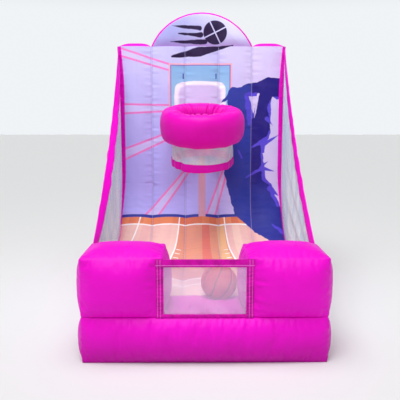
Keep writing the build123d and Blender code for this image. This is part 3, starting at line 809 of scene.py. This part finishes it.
# ---------------------------------------------------------------- header
# The rounded top chamber: printed front and back panels, two inner webs, and a plain pink band sewn
# round the curved edge. The band's seams gather, so it is fuller in the middle and puckered at its edges.
header_low, header_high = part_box("header")
HEADER_HALF = header_high.x
HEADER_RISE = header_high.z - header_low.z
HEADER_R = (HEADER_HALF ** 2 + HEADER_RISE ** 2) / (2 * HEADER_RISE)
HEADER_CENTRE_Z = header_high.z - HEADER_R
HEADER_SWEEP = math.asin(HEADER_HALF / HEADER_R)
HEADER_CROWN = 0.024
HEADER_WEB_X = 0.1527
RIM_CROWN = 0.022


def header_place(a, b, c):
    turn = HEADER_SWEEP * (2 * a - 1)
    rim = Vector((HEADER_R * math.sin(turn), HEADER_CENTRE_Z + HEADER_R * math.cos(turn)))
    foot = Vector((HEADER_HALF * (2 * a - 1), header_low.z))
    spot = foot.lerp(rim, c)
    cell = min(abs(abs(spot.x) - HEADER_WEB_X) / 0.10, 1)
    gap = max(0.0, HEADER_R - (spot - Vector((0, HEADER_CENTRE_Z))).length)
    full = min(1, gap / 0.09) ** 0.5 * min(1, (spot.y - header_low.z + 0.03) / 0.09) ** 0.5
    gather = 0.0022 * math.sin(turn * 240 + 3 * uneven(turn * 9, 0, b))
    gather *= math.exp(-gap / 0.03) * min(1, gap / 0.008)
    soft = 0.004 * uneven(spot.x * 6, spot.y * 6, b * 5)
    out = (HEADER_CROWN * (0.45 + 0.55 * cell ** 0.6) + soft) * full + gather
    y = header_low.y + (header_high.y - header_low.y) * b
    if b in (0, 1):
        y += out * (2 * b - 1)
    return Vector((spot.x, y, spot.y)), (spot.x, wall_run(spot.y) + 0.003)


def rim_place(a, b, c):
    turn = (HEADER_SWEEP + 0.012) * (2 * a - 1)
    full = (4 * b * (1 - b)) ** 0.5
    gather = 0.0035 * (1 - full) ** 2 * math.sin(turn * 230 + b * 9)
    crown = RIM_CROWN + 0.003 * uneven(turn * 9, b * 3, 4)
    wide = HEADER_R + (0.004 + crown * full + gather) * c
    y = header_low.y + 0.001 + (header_high.y - header_low.y - 0.002) * b
    return Vector((wide * math.sin(turn), y, HEADER_CENTRE_Z + wide * math.cos(turn))), (turn, b)


header_cloth = cloth_box("header_cloth", (90, 18, 30), header_place, {(1, 0): 0, "rest": 1})
finish_cloth(header_cloth, [printed_cloth, pink_cloth], ["header"], finer=0, crease=50)
header_band = cloth_box("header_band", (260, 18, 2), rim_place, {"rest": 0})
finish_cloth(header_band, [pink_cloth], ["header_rim"], finer=0, crease=60)


# ---------------------------------------------------------------- padded ring and its neck
# An air-filled ring of the same pink nylon. The inner seam has much less cloth than the outer wall, so it
# gathers into short hard creases. A short duct behind feeds it from the wall's middle chamber.
ring_low, ring_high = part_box("hoop_ring")
RING_CENTRE = (ring_low + ring_high) / 2 + Vector((0, 0, 0.010))
RING_DROOP = math.radians(11.6)
RING_OUTER_R = ring_high.x
RING_INNER_R = 0.170
RING_HALF_HEIGHT = 0.140
RING_MID_R = (RING_OUTER_R + RING_INNER_R) / 2
RING_HALF_WIDTH = (RING_OUTER_R - RING_INNER_R) / 2
ring_turn = Matrix.Translation(RING_CENTRE) @ Matrix.Rotation(RING_DROOP, 4, "X")
CREASES = [(math.radians(random.uniform(0, 360)), random.uniform(0.3, 1.0), random.uniform(0.018, 0.05))
           for _ in range(46)]
CREASES += [(math.radians(a), 1.7, 0.035)
            for a in (38, 47, 58, 118, 127, 139, 148, 236, 247, 256, 268, 281, 303)]


def ring_point(turn, bow):
    """A point of the ring's cloth. turn goes round the hoop, and bow round its section from the outside."""
    flat, square = math.cos(bow), math.sin(bow)
    across = RING_HALF_WIDTH * math.copysign(abs(flat) ** 0.74, flat)
    up = RING_HALF_HEIGHT * math.copysign(abs(square) ** 0.80, square)
    inner = max(0.0, math.cos(bow - math.radians(128)))
    lower = max(0.0, math.cos(bow + math.radians(128)))
    depth = 0.0
    for angle, strength, width in CREASES:
        gap = math.atan2(math.sin(turn - angle), math.cos(turn - angle)) / width
        if abs(gap) < 3:
            depth += strength * math.exp(-gap * gap)
    fine = math.sin(turn * 62 + 2 * uneven(math.cos(turn) * 4, math.sin(turn) * 4, 0))
    dent = 0.0105 * depth * (inner ** 3.2 + 0.5 * lower ** 6) + 0.0016 * fine * (inner ** 8 + lower ** 8)
    ripple = 0.0045 * uneven(math.cos(turn) * 3, math.sin(turn) * 3, bow * 0.8)
    shrink = 1 - (dent - ripple) / 0.12
    x = (RING_MID_R + across * shrink) * math.cos(turn)
    y = (RING_MID_R + across * shrink) * math.sin(turn)
    return ring_turn @ Vector((x, y, up * shrink))


def cloth_tube(name, rounds, steps, point, closed=True):
    """A skin of rounds by steps points, wrapped round on itself, and closed the other way too if asked."""
    tube = bmesh.new()
    run = tube.loops.layers.uv.new("run")
    rows = steps if closed else steps + 1
    grid = [[tube.verts.new(point(i / rounds, j / steps)) for j in range(rows)] for i in range(rounds)]
    for i in range(rounds):
        for j in range(steps):
            k, m = (i + 1) % rounds, (j + 1) % rows
            panel = tube.faces.new((grid[i][j], grid[k][j], grid[k][m], grid[i][m]))
            for loop, mark in zip(panel.loops, ((i, j), (i + 1, j), (i + 1, j + 1), (i, j + 1))):
                loop[run].uv = (mark[0] / rounds, mark[1] / steps)
    bmesh.ops.recalc_face_normals(tube, faces=tube.faces)
    return to_piece(name, tube)


# Painted shade: the ring's nylon is dyed a little darker than the chambers' pink, for the shade on its
# front.
ring_paint = cloth_paint("ring_nylon", dye(226, 0, 176), dye(204, 0, 150))
ring_cloth = cloth_tube("ring_cloth", 300, 64, lambda a, b: ring_point(a * math.tau, b * math.tau))
finish_cloth(ring_cloth, [ring_paint], ["hoop_ring"], finer=0)

neck_low, neck_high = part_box("hoop_neck")
NECK_BACK_Y = WALL_Y - BULGE + 0.006
NECK_MIDDLE_Z = (neck_low.z + neck_high.z) / 2


def neck_point(a, b):
    turn = a * math.tau
    flare = 1 + 0.10 * (2 * b - 1) ** 4
    gather = 1 + 0.02 * math.sin(turn * 26) * abs(2 * b - 1) ** 3
    x = 0.11 * math.copysign(abs(math.cos(turn)) ** 0.6, math.cos(turn)) * flare * gather
    z = NECK_MIDDLE_Z + 0.075 * math.copysign(abs(math.sin(turn)) ** 0.6, math.sin(turn)) * flare * gather
    y = neck_low.y + 0.03 + (NECK_BACK_Y - neck_low.y - 0.03) * b
    return Vector((x, y, z))


neck_cloth = cloth_tube("neck_cloth", 104, 16, neck_point, closed=False)
pick(neck_cloth)
bpy.ops.object.mode_set(mode="EDIT")
bpy.ops.mesh.select_all(action="DESELECT")
bpy.ops.mesh.select_non_manifold()
bpy.ops.mesh.edge_face_add()
bpy.ops.object.mode_set(mode="OBJECT")
finish_cloth(neck_cloth, [hem_cloth], ["hoop_neck"], finer=0, crease=60)


# ---------------------------------------------------------------- nets
# White knotless netting: it hangs below the ring as a short tube, closes each side of the game behind the
# front hem, and forms the see-through panel in front of the catch. Pink hems and trims bind its edges.
def streaks(tree, place):
    """The place on a net, drawn out along its hang, so that tones run in long folds."""
    drawn = tree.nodes.new("ShaderNodeMapping")
    drawn.vector_type = "TEXTURE"
    drawn.inputs["Rotation"].default_value = (math.radians(-27), 0, 0)
    drawn.inputs["Scale"].default_value = (1.0, 0.22, 3.0)
    tree.links.new(place, drawn.inputs["Vector"])
    return drawn.outputs["Vector"]


def net_paint(name, pitch, thread, light, shade, wrap=(1.0, 1.0)):
    """Netting: threads both ways at the pitch, with the holes between them left open."""
    paint, tree, shader, place = new_paint(name, 0.7, 0.1)
    parts = split(tree, cloth_marks(tree))
    cover = None
    for side, length in zip("XY", wrap):
        share = calc(tree, "FRACT", times(tree, parts[side], length / pitch))
        line = ramp(tree, calc(tree, "ABSOLUTE", minus(tree, share, 0.5)),
                    thread / pitch / 2 - 0.06, thread / pitch / 2 + 0.06, 1.0, 0.0)
        cover = line if cover is None else calc(tree, "MAXIMUM", cover, line)
    tree.links.new(ramp(tree, cover, 0.0, 1.0, 0.10, 0.95), shader.inputs["Alpha"])
    # Painted light and shade: the thread's lit and shaded tones laid in long streaks like folds.
    fold = ramp(tree, mottle(tree, streaks(tree, place), 5.0), 0.35, 0.65, 0.0, 0.8)
    tree.links.new(blend(tree, light, shade, fold), shader.inputs["Base Color"])
    raise_surface(tree, shader, cover, 0.0006, 0.5)
    return paint


def thicken(piece, thickness):
    """Gives a thin piece its real thickness."""
    pick(piece)
    wall = piece.modifiers.new("thickness", "SOLIDIFY")
    wall.thickness = thickness
    wall.offset = 0
    bpy.ops.object.modifier_apply(modifier="thickness")


def cloth_sheet(name, counts, point, thickness):
    """An open sheet of cloth. point(a, b) gives each place and its mark in metres on the flat cloth."""
    cloth = bmesh.new()
    run = cloth.loops.layers.uv.new("run")
    spots = [[point(i / counts[0], j / counts[1]) for j in range(counts[1] + 1)]
             for i in range(counts[0] + 1)]
    grid = [[cloth.verts.new(spot) for spot, mark in row] for row in spots]
    for i in range(counts[0]):
        for j in range(counts[1]):
            keys = ((i, j), (i + 1, j), (i + 1, j + 1), (i, j + 1))
            panel = cloth.faces.new([grid[k][m] for k, m in keys])
            for loop, (k, m) in zip(panel.loops, keys):
                loop[run].uv = spots[k][m][1]
    piece = to_piece(name, cloth)
    thicken(piece, thickness)
    return piece


NET_THREAD = 0.0012
HOOP_NET_R = 0.265
HOOP_NET_DROP = 0.130
HOOP_NET_TUCK = 0.012
HOOP_HEM_WIDTH = 0.064
net_low, net_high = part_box("hoop_net")
hoop_net_centre_y = (net_low.y + net_high.y) / 2
HOOP_DROP = math.tan(RING_DROOP)
hoop_net_paint = net_paint("hoop_netting", 0.0045, 0.0015, dye(252, 255, 255), dye(212, 232, 244),
                           (math.tau * HOOP_NET_R, 0.13))
side_net_paint = net_paint("side_netting", 0.0060, 0.0026, dye(238, 252, 255), dye(204, 228, 248))
window_paint = net_paint("window_netting", 0.0050, 0.0010, dye(246, 226, 255), dye(228, 204, 246))


def hoop_radius(turn, down):
    """How far the hanging net stands from the hoop's middle. It falls in loose folds."""
    fold = 0.004 * math.sin(turn * 9 + 1.3) + 0.003 * math.sin(turn * 17 + 0.4) + 0.003 * math.sin(turn * 5)
    tuck = 0.016 * math.exp(-(((turn - math.radians(222)) / 0.10) ** 2))
    return HOOP_NET_R - 0.004 + (fold - tuck) * min(1, down * 1.5)


def hoop_level(turn):
    """The height of the ring's underside, which droops to the front."""
    return HOOP_NET_R * math.sin(turn) * HOOP_DROP


net_middle_top = (net_high.z + net_low.z + HOOP_NET_DROP) / 2


def hoop_net_point(a, b):
    turn = a * math.tau
    wide = hoop_radius(turn, b)
    z = net_middle_top + hoop_level(turn) + HOOP_NET_TUCK - (HOOP_NET_DROP + HOOP_NET_TUCK) * b
    return Vector((wide * math.cos(turn), hoop_net_centre_y + wide * math.sin(turn), z))


hoop_net = cloth_tube("hoop_netting_tube", 220, 14, hoop_net_point, closed=False)
thicken(hoop_net, NET_THREAD)
finish_cloth(hoop_net, [hoop_net_paint], ["hoop_net"], finer=0)


def hem_band_point(a, b):
    turn = a * math.tau
    puff = 0.003 * math.sin(b * math.pi)
    sway = 0.0025 * math.sin(turn * 23 + 2 * math.sin(turn * 3)) * b
    wide = hoop_radius(turn, 1) + puff + sway
    z = net_middle_top - HOOP_NET_DROP + hoop_level(turn) + 0.004
    z -= HOOP_HEM_WIDTH * b + 0.004 * math.sin(turn * 3 + 1) * b
    return Vector((wide * math.cos(turn), hoop_net_centre_y + wide * math.sin(turn), z))


hoop_hem = cloth_tube("hoop_hem_band", 260, 10, hem_band_point, closed=False)
thicken(hoop_hem, 0.0045)
finish_cloth(hoop_hem, [cloth_paint("hoop_hem_cloth", dye(226, 4, 176), dye(190, 0, 146))],
             ["hoop_hem"], finer=0)

NET_X = abs(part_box("side_net_left")[0].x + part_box("side_net_left")[1].x) / 2
BLOCK_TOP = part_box("corner_block_left")[1].z
TRIM_WIDTH = 0.030
TRIM_LIFT = 0.012
PATH_STEP = 0.02
BAND_WIDTH = 0.060
BAND_SAG = 0.105
band_foot = Vector((COURT_Y + BAND_WIDTH / 4, BLOCK_TOP))
band_head = Vector((WALL_Y - TRIM_WIDTH, WALL_TOP - 0.020))
band_way = (band_head - band_foot).normalized()
band_in = Vector((band_way.y, -band_way.x))


def band_line(b):
    """The net's bowed front edge, from the block (0) to the wall's top (1)."""
    return band_foot.lerp(band_head, b) + band_in * BAND_SAG * 4 * b * (1 - b)


court_path = [Vector((COURT_Y + 0.004, z)) for z in (BLOCK_TOP - 0.001, COURT_START_Z + TRIM_LIFT)]
for i in range(1, int((FULL_RUN - 0.03) / PATH_STEP)):
    line, out = seam_line(i * PATH_STEP)
    court_path.append(line + out * TRIM_LIFT)
path_runs = [0.0]
for one, two in zip(court_path, court_path[1:]):
    path_runs.append(path_runs[-1] + (two - one).length)


def rear_line(b):
    """The net's lower and rear edge, down the block, along the court and up the wall."""
    want = b * path_runs[-1]
    for k in range(len(court_path) - 1):
        if want <= path_runs[k + 1]:
            share = (want - path_runs[k]) / (path_runs[k + 1] - path_runs[k])
            return court_path[k].lerp(court_path[k + 1], share)
    return court_path[-1]


def make_side(side, word, twist, twist_foot):
    def net_point(a, b):
        front = band_line(b) + band_in * 0.02
        spot = front.lerp(rear_line(b), a)
        loose = math.sin(a * math.pi) ** 0.7 * math.sin(min(1, b * 1.1) * math.pi) ** 0.5
        fold = 0.011 * math.sin(a * 27 + b * 4 + side) + 0.010 * uneven(a * 5, b * 4, side)
        x = side * (NET_X - 0.012 * loose + fold * loose)
        return Vector((x, spot.x, spot.y)), (spot.x, spot.y)

    def band_point(a, b, c):
        turned = twist * math.sin(min(1, b * 1.05) * math.pi) ** 0.6 + twist_foot * (1 - b) ** 2
        crumple = 0.006 * uneven(a * 3, b * 22, side) * math.sin(b * math.pi)
        edge = band_line(b)
        width = BAND_WIDTH * (1 + 0.10 * uneven(b * 9, side, 0))
        inward = edge + band_in * math.cos(turned) * a * width
        x = side * (NET_X + 0.002 - math.sin(turned) * a * width + crumple)
        thick = 0.004 + 0.009 * math.sin(a * math.pi) ** 0.8
        flat = Vector((0, -math.sin(turned) * band_in.x, -math.sin(turned) * band_in.y))
        flat = (flat + Vector((side * math.cos(turned), 0, 0))).normalized() * thick * (c - 0.5)
        return Vector((x, inward.x, inward.y)) + flat, (a * width, b * 2.0)

    def trim_point(a, b):
        spot = rear_line(b)
        ahead = rear_line(min(1, b + 0.002)) - rear_line(max(0, b - 0.002))
        across = Vector((-ahead.y, ahead.x)).normalized()
        place = spot + across * (a * TRIM_WIDTH - 0.010)
        wave = 0.0012 * math.sin(b * 150) * a + 0.004 * uneven(b * 30, a, side) * a
        x = side * (NET_X - 0.007 - 0.003 * a + wave)
        return Vector((x, place.x, place.y)), (a * TRIM_WIDTH, b * path_runs[-1])

    net = cloth_sheet(f"side_netting_{word}", (24, 90), net_point, NET_THREAD)
    finish_cloth(net, [side_net_paint], [f"side_net_{word}"], finer=0)
    band = cloth_box(f"front_hem_{word}", (8, 150, 2), band_point, {"rest": 0})
    finish_cloth(band, [pink_cloth], [f"side_band_{word}"], finer=0)
    trim = cloth_sheet(f"rear_trim_{word}", (4, 240), trim_point, 0.003)
    finish_cloth(trim, [pink_cloth], [f"edge_trim_{word}"], finer=0)


make_side(-1, "left", math.radians(50), math.radians(8))
make_side(1, "right", math.radians(12), math.radians(14))


# ---------------------------------------------------------------- catch window
# A net panel bound with dark nylon on all four sides, sewn to the beam and to both corner blocks.
mesh_low, mesh_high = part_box("window_mesh")
FLAP_TRIM = 0.008
mesh_low.x -= FLAP_TRIM
mesh_high.x += FLAP_TRIM
stitched, tree, shader, place = new_paint("stitched_hem", 0.5, 0.02)
parts = split(tree, place)
from_middle = calc(tree, "ABSOLUTE", parts["X"])
height = parts["Z"]
top_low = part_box("window_top_hem")[0].z
threads = between(tree, height, top_low + 0.010, top_low + 0.014, 0.0008)
side_rows = calc(tree, "MAXIMUM", between(tree, from_middle, 0.2705, 0.2735, 0.0006),
                 between(tree, from_middle, 0.2885, 0.2915, 0.0006))
step = calc(tree, "FRACT", times(tree, height, 1 / 0.007))
side_rows = times(tree, side_rows, ramp(tree, step, 0.25, 0.35))
threads = calc(tree, "MAXIMUM", threads, side_rows)
nylon = ramp(tree, mottle(tree, place, 22.0), 0.35, 0.75)
nylon = blend(tree, dye(212, 0, 168), dye(176, 0, 138), nylon)
tree.links.new(blend(tree, nylon, dye(232, 120, 214), threads), shader.inputs["Base Color"])
add_weave(tree, shader, place, 900.0, 0.5)


def window_point(a, b):
    x = mesh_low.x + (mesh_high.x - mesh_low.x) * a
    z = mesh_low.z + (mesh_high.z - mesh_low.z) * b
    bow = 0.010 * (math.sin(a * math.pi) * math.sin(b * math.pi)) ** 0.6
    crease = 0.004 * math.sin((x * 0.8 + z) * 46) * math.sin(a * math.pi) * (1 - b) ** 2
    return Vector((x, (mesh_low.y + mesh_high.y) / 2 + bow + crease, z)), (x, z)


window_net = cloth_sheet("window_netting_panel", (60, 44), window_point, NET_THREAD)
finish_cloth(window_net, [window_paint], ["window_mesh"], finer=0)


def window_strip(node, name, counts, puckers_at):
    """A folded and stitched binding, a little fuller in the middle than at its sewn edges."""
    low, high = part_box(node)
    long_x = high.x - low.x > high.z - low.z
    if not long_x and low.x > 0:
        low.x += FLAP_TRIM
    elif not long_x:
        high.x -= FLAP_TRIM

    def place(a, b, c):
        x, z = low.x + (high.x - low.x) * a, low.z + (high.z - low.z) * c
        along, across = (a, c) if long_x else (c, a)
        full = math.sin(across * math.pi) ** 0.5
        ripple = 0.0016 * math.sin(along * puckers_at + 2 * uneven(along * 9, across * 2, 0))
        y = low.y - (0.003 + ripple) * full * (1 - b) + (high.y - low.y) * b
        return Vector((x, y, z)), (x, z)

    strip = cloth_box(name, counts, place, {"rest": 0})
    finish_cloth(strip, [stitched], [node], finer=0, crease=60)


window_strip("window_top_hem", "window_top_binding", (150, 1, 12), 130)
window_strip("window_bottom_hem", "window_bottom_binding", (150, 1, 6), 110)
window_strip("window_flap_left", "window_left_binding", (12, 1, 100), 96)
window_strip("window_flap_right", "window_right_binding", (12, 1, 100), 96)


# ---------------------------------------------------------------- ball
# A small orange rubber ball with a pebbled skin and the usual eight panels, parted by black grooves.
ball_low, ball_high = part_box("ball")
BALL_R = (ball_high.x - ball_low.x) / 2
GROOVE_HALF = 0.0030
bpy.ops.object.select_all(action="DESELECT")
bpy.ops.mesh.primitive_ico_sphere_add(subdivisions=7, radius=BALL_R, location=(0, 0, 0))
ball_skin = bpy.context.active_object
ball_skin.name = "ball_skin"
ball_turn = Matrix.Rotation(math.radians(24), 3, "Y") @ Matrix.Rotation(math.radians(-18), 3, "X")
ball_turn = ball_turn @ Matrix.Rotation(math.radians(28), 3, "Z")
grooves = ball_skin.data.attributes.new("groove", "FLOAT", "POINT")
for v in ball_skin.data.vertices:
    spot = ball_turn.inverted() @ (v.co / BALL_R)
    side_arc = abs(math.hypot(abs(spot.x) - 1.22, spot.y) - 0.86)
    gap = min(abs(spot.x), abs(spot.y), side_arc) * BALL_R
    depth = max(0.0, 1 - (gap / GROOVE_HALF) ** 2)
    grooves.data[v.index].value = depth
    v.co = ball_middle + v.co * (1 - 0.0012 * depth / BALL_R)
ball_paint, tree, shader, place = new_paint("ball_rubber", 0.62, 0.0)
groove = tree.nodes.new("ShaderNodeAttribute")
groove.attribute_name = "groove"
orange = ramp(tree, mottle(tree, place, 14.0), 0.3, 0.7)
orange = blend(tree, dye(222, 78, 52), dye(196, 58, 42), orange)
tree.links.new(blend(tree, orange, dye(28, 20, 20), ramp(tree, groove.outputs["Fac"], 0.02, 0.25)),
               shader.inputs["Base Color"])
pebbles = tree.nodes.new("ShaderNodeTexVoronoi")
pebbles.inputs["Scale"].default_value = 420.0
tree.links.new(place, pebbles.inputs["Vector"])
raise_surface(tree, shader, pebbles.outputs["Distance"], 0.0006, 0.35)
ball_skin.data.materials.append(ball_paint)
bpy.ops.object.shade_smooth()
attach(ball_skin, "ball")
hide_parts("ball")


# ---------------------------------------------------------------- ground sheet
# A single layer of the pink nylon under the court, hemmed round its edge and lying on the floor.
sheet_low, sheet_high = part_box("ground_sheet")


def ground_point(a, b):
    x = sheet_low.x + (sheet_high.x - sheet_low.x) * a
    y = sheet_low.y + (sheet_high.y - sheet_low.y) * b
    return Vector((x, y, 0.0016)), (x, y)


ground_cloth = cloth_sheet("ground_cloth", (40, 60), ground_point, 0.0028)
finish_cloth(ground_cloth, [pink_cloth], ["ground_sheet"], finer=0)


# ---------------------------------------------------------------- air inlet
# A short sleeve of the same nylon, sewn to the back of the second chamber with a flange. The blower's
# nozzle goes into it, and a webbing strap with a plastic buckle draws it tight.
collar_low, collar_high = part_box("inlet_collar")
INLET_X = (collar_low.x + collar_high.x) / 2
INLET_Z = (collar_low.z + collar_high.z) / 2
FLANGE_R = (collar_high.x - collar_low.x) / 2
strap_low, strap_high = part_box("inlet_strap")
STRAP_Y = (strap_low.y + strap_high.y) / 2
SLEEVE_R = (strap_high.x - strap_low.x) / 2 - 0.0045
cell_half = (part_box("wall_cell_2")[1].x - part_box("wall_cell_2")[0].x) / 2


def inlet_point(a, b):
    turn = a * math.tau
    foot = BACK_Y + BULGE * (1 - min(1, abs(math.cos(turn)) * FLANGE_R / cell_half) ** 2.3) + 0.002
    if b < 0.16:
        share = b / 0.16
        wide = FLANGE_R + (SLEEVE_R - FLANGE_R) * share
        y = foot + 0.010 * share ** 3
    else:
        share = (b - 0.16) / 0.84
        y = foot + 0.010 + (collar_high.y - foot - 0.010) * share
        strapped = math.exp(-(((y - STRAP_Y) / 0.020) ** 2))
        loose = (1 - strapped) * min(1, share * 4)
        fold = 0.0035 * math.sin(turn * 21 + 2 * math.sin(turn * 4)) + 0.006 * noise.noise(
            Vector((math.cos(turn) * 3, math.sin(turn) * 3, y * 14)))
        wide = SLEEVE_R + fold * loose + 0.004 * loose * share
    drop = 0.010 * max(0.0, b - 0.6) ** 2 / 0.16
    return Vector((INLET_X + wide * math.cos(turn), y, INLET_Z + wide * math.sin(turn) - drop))


sleeve = cloth_tube("inlet_sleeve", 180, 44, inlet_point, closed=False)
thicken(sleeve, 0.0018)
finish_cloth(sleeve, [pink_cloth], ["inlet_collar"], finer=0)


# ---------------------------------------------------------------- tie points, zip and inner webs
# Webbing patches box-stitched to the side panels, each with a welded steel D-ring in its loop. The zip at
# the back lets the air out. The webs inside, which part the chambers, are the same nylon, left white.
def webbing_paint(name, colour, dark):
    """Woven polypropylene tape: ribs across the tape, with worn patches."""
    paint, tree, shader, place = new_paint(name, 0.65, 0.1)
    woven = times(tree, bands(tree, place, "Z", 160.0, 0.6), bands(tree, place, "Y", 90.0))
    tone = blend(tree, dark, colour, woven)
    worn = ramp(tree, mottle(tree, place, 30.0), 0.5, 0.8, 0.0, 0.5)
    tree.links.new(blend(tree, tone, dark, worn), shader.inputs["Base Color"])
    raise_surface(tree, shader, woven, 0.0006, 0.6)
    return paint


def metal_paint(name, colour, roughness):
    paint, tree, shader, place = new_paint(name, roughness, 0.0)
    shader.inputs["Metallic"].default_value = 1.0
    grain = ramp(tree, mottle(tree, place, 220.0, 6.0), 0.3, 0.7, 0.0, 0.35)
    tree.links.new(blend(tree, colour, dye(120, 120, 124), grain), shader.inputs["Base Color"])
    rough = ramp(tree, mottle(tree, place, 90.0, 3.0), 0.2, 0.8, roughness - 0.08, roughness + 0.12)
    tree.links.new(rough, shader.inputs["Roughness"])
    raise_surface(tree, shader, mottle(tree, place, 400.0, 2.0), 0.0002, 0.15)
    return paint


def dress(node, paint):
    """Gives a kept CAD node its finish."""
    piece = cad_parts[node]
    piece.data.materials.clear()
    piece.data.materials.append(paint)


webbing = webbing_paint("webbing", dye(206, 30, 160), dye(150, 6, 116))
strap_webbing = webbing_paint("strap_webbing", dye(52, 50, 56), dye(24, 23, 27))
steel = metal_paint("steel", dye(214, 214, 218), 0.28)
# The white webs get only a little of the painted shade towards the floor.
web_cloth = cloth_paint("web_cloth", dye(240, 240, 244), dye(214, 214, 224), scuff_and_low_shade=0.1)

ZIP_TOOTH = 0.003
ZIP_STITCH = 0.005
zip_paint, tree, shader, place = new_paint("zip_tape", 0.6, 0.1)
zip_low, zip_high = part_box("zip_tape")
parts = split(tree, place)
from_middle = calc(tree, "ABSOLUTE", minus(tree, parts["X"], (zip_low.x + zip_high.x) / 2))
teeth = calc(tree, "FRACT", times(tree, parts["Z"], 1 / ZIP_TOOTH))
teeth = ramp(tree, calc(tree, "ABSOLUTE", minus(tree, teeth, 0.5)), 0.2, 0.3, 1.0, 0.0)
teeth = times(tree, teeth, ramp(tree, from_middle, 0.0036, 0.0042, 1.0, 0.0))
stitch = calc(tree, "FRACT", times(tree, parts["Z"], 1 / ZIP_STITCH))
stitch = times(tree, between(tree, from_middle, 0.0135, 0.0145, 0.0003),
              ramp(tree, stitch, 0.3, 0.4))
tape = ramp(tree, mottle(tree, place, 60.0), 0.3, 0.7)
tape = blend(tree, dye(44, 40, 48), dye(70, 64, 74), tape)
tape = blend(tree, tape, dye(92, 88, 96), teeth)
tape = blend(tree, tape, dye(232, 20, 180), stitch)
tree.links.new(tape, shader.inputs["Base Color"])
raise_surface(tree, shader, plus(tree, teeth, stitch), 0.001, 0.8)

buckle_paint, tree, shader, place = new_paint("buckle_plastic", 0.4, 0.0)
scuff_and_low_shade = ramp(tree, mottle(tree, place, 120.0, 5.0), 0.55, 0.8, 0.0, 0.5)
tree.links.new(blend(tree, dye(34, 33, 37), dye(74, 72, 78), scuff_and_low_shade), shader.inputs["Base Color"])
raise_surface(tree, shader, mottle(tree, place, 500.0, 2.0), 0.0002, 0.2)

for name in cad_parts:
    if name.startswith("anchor_loop"):
        dress(name, webbing)
    elif name.startswith("d_ring") or name in ("zip_slider", "zip_pull"):
        dress(name, steel)
    elif "_web_" in name:
        dress(name, web_cloth)
dress("zip_tape", zip_paint)
dress("inlet_strap", strap_webbing)
dress("inlet_buckle", buckle_paint)
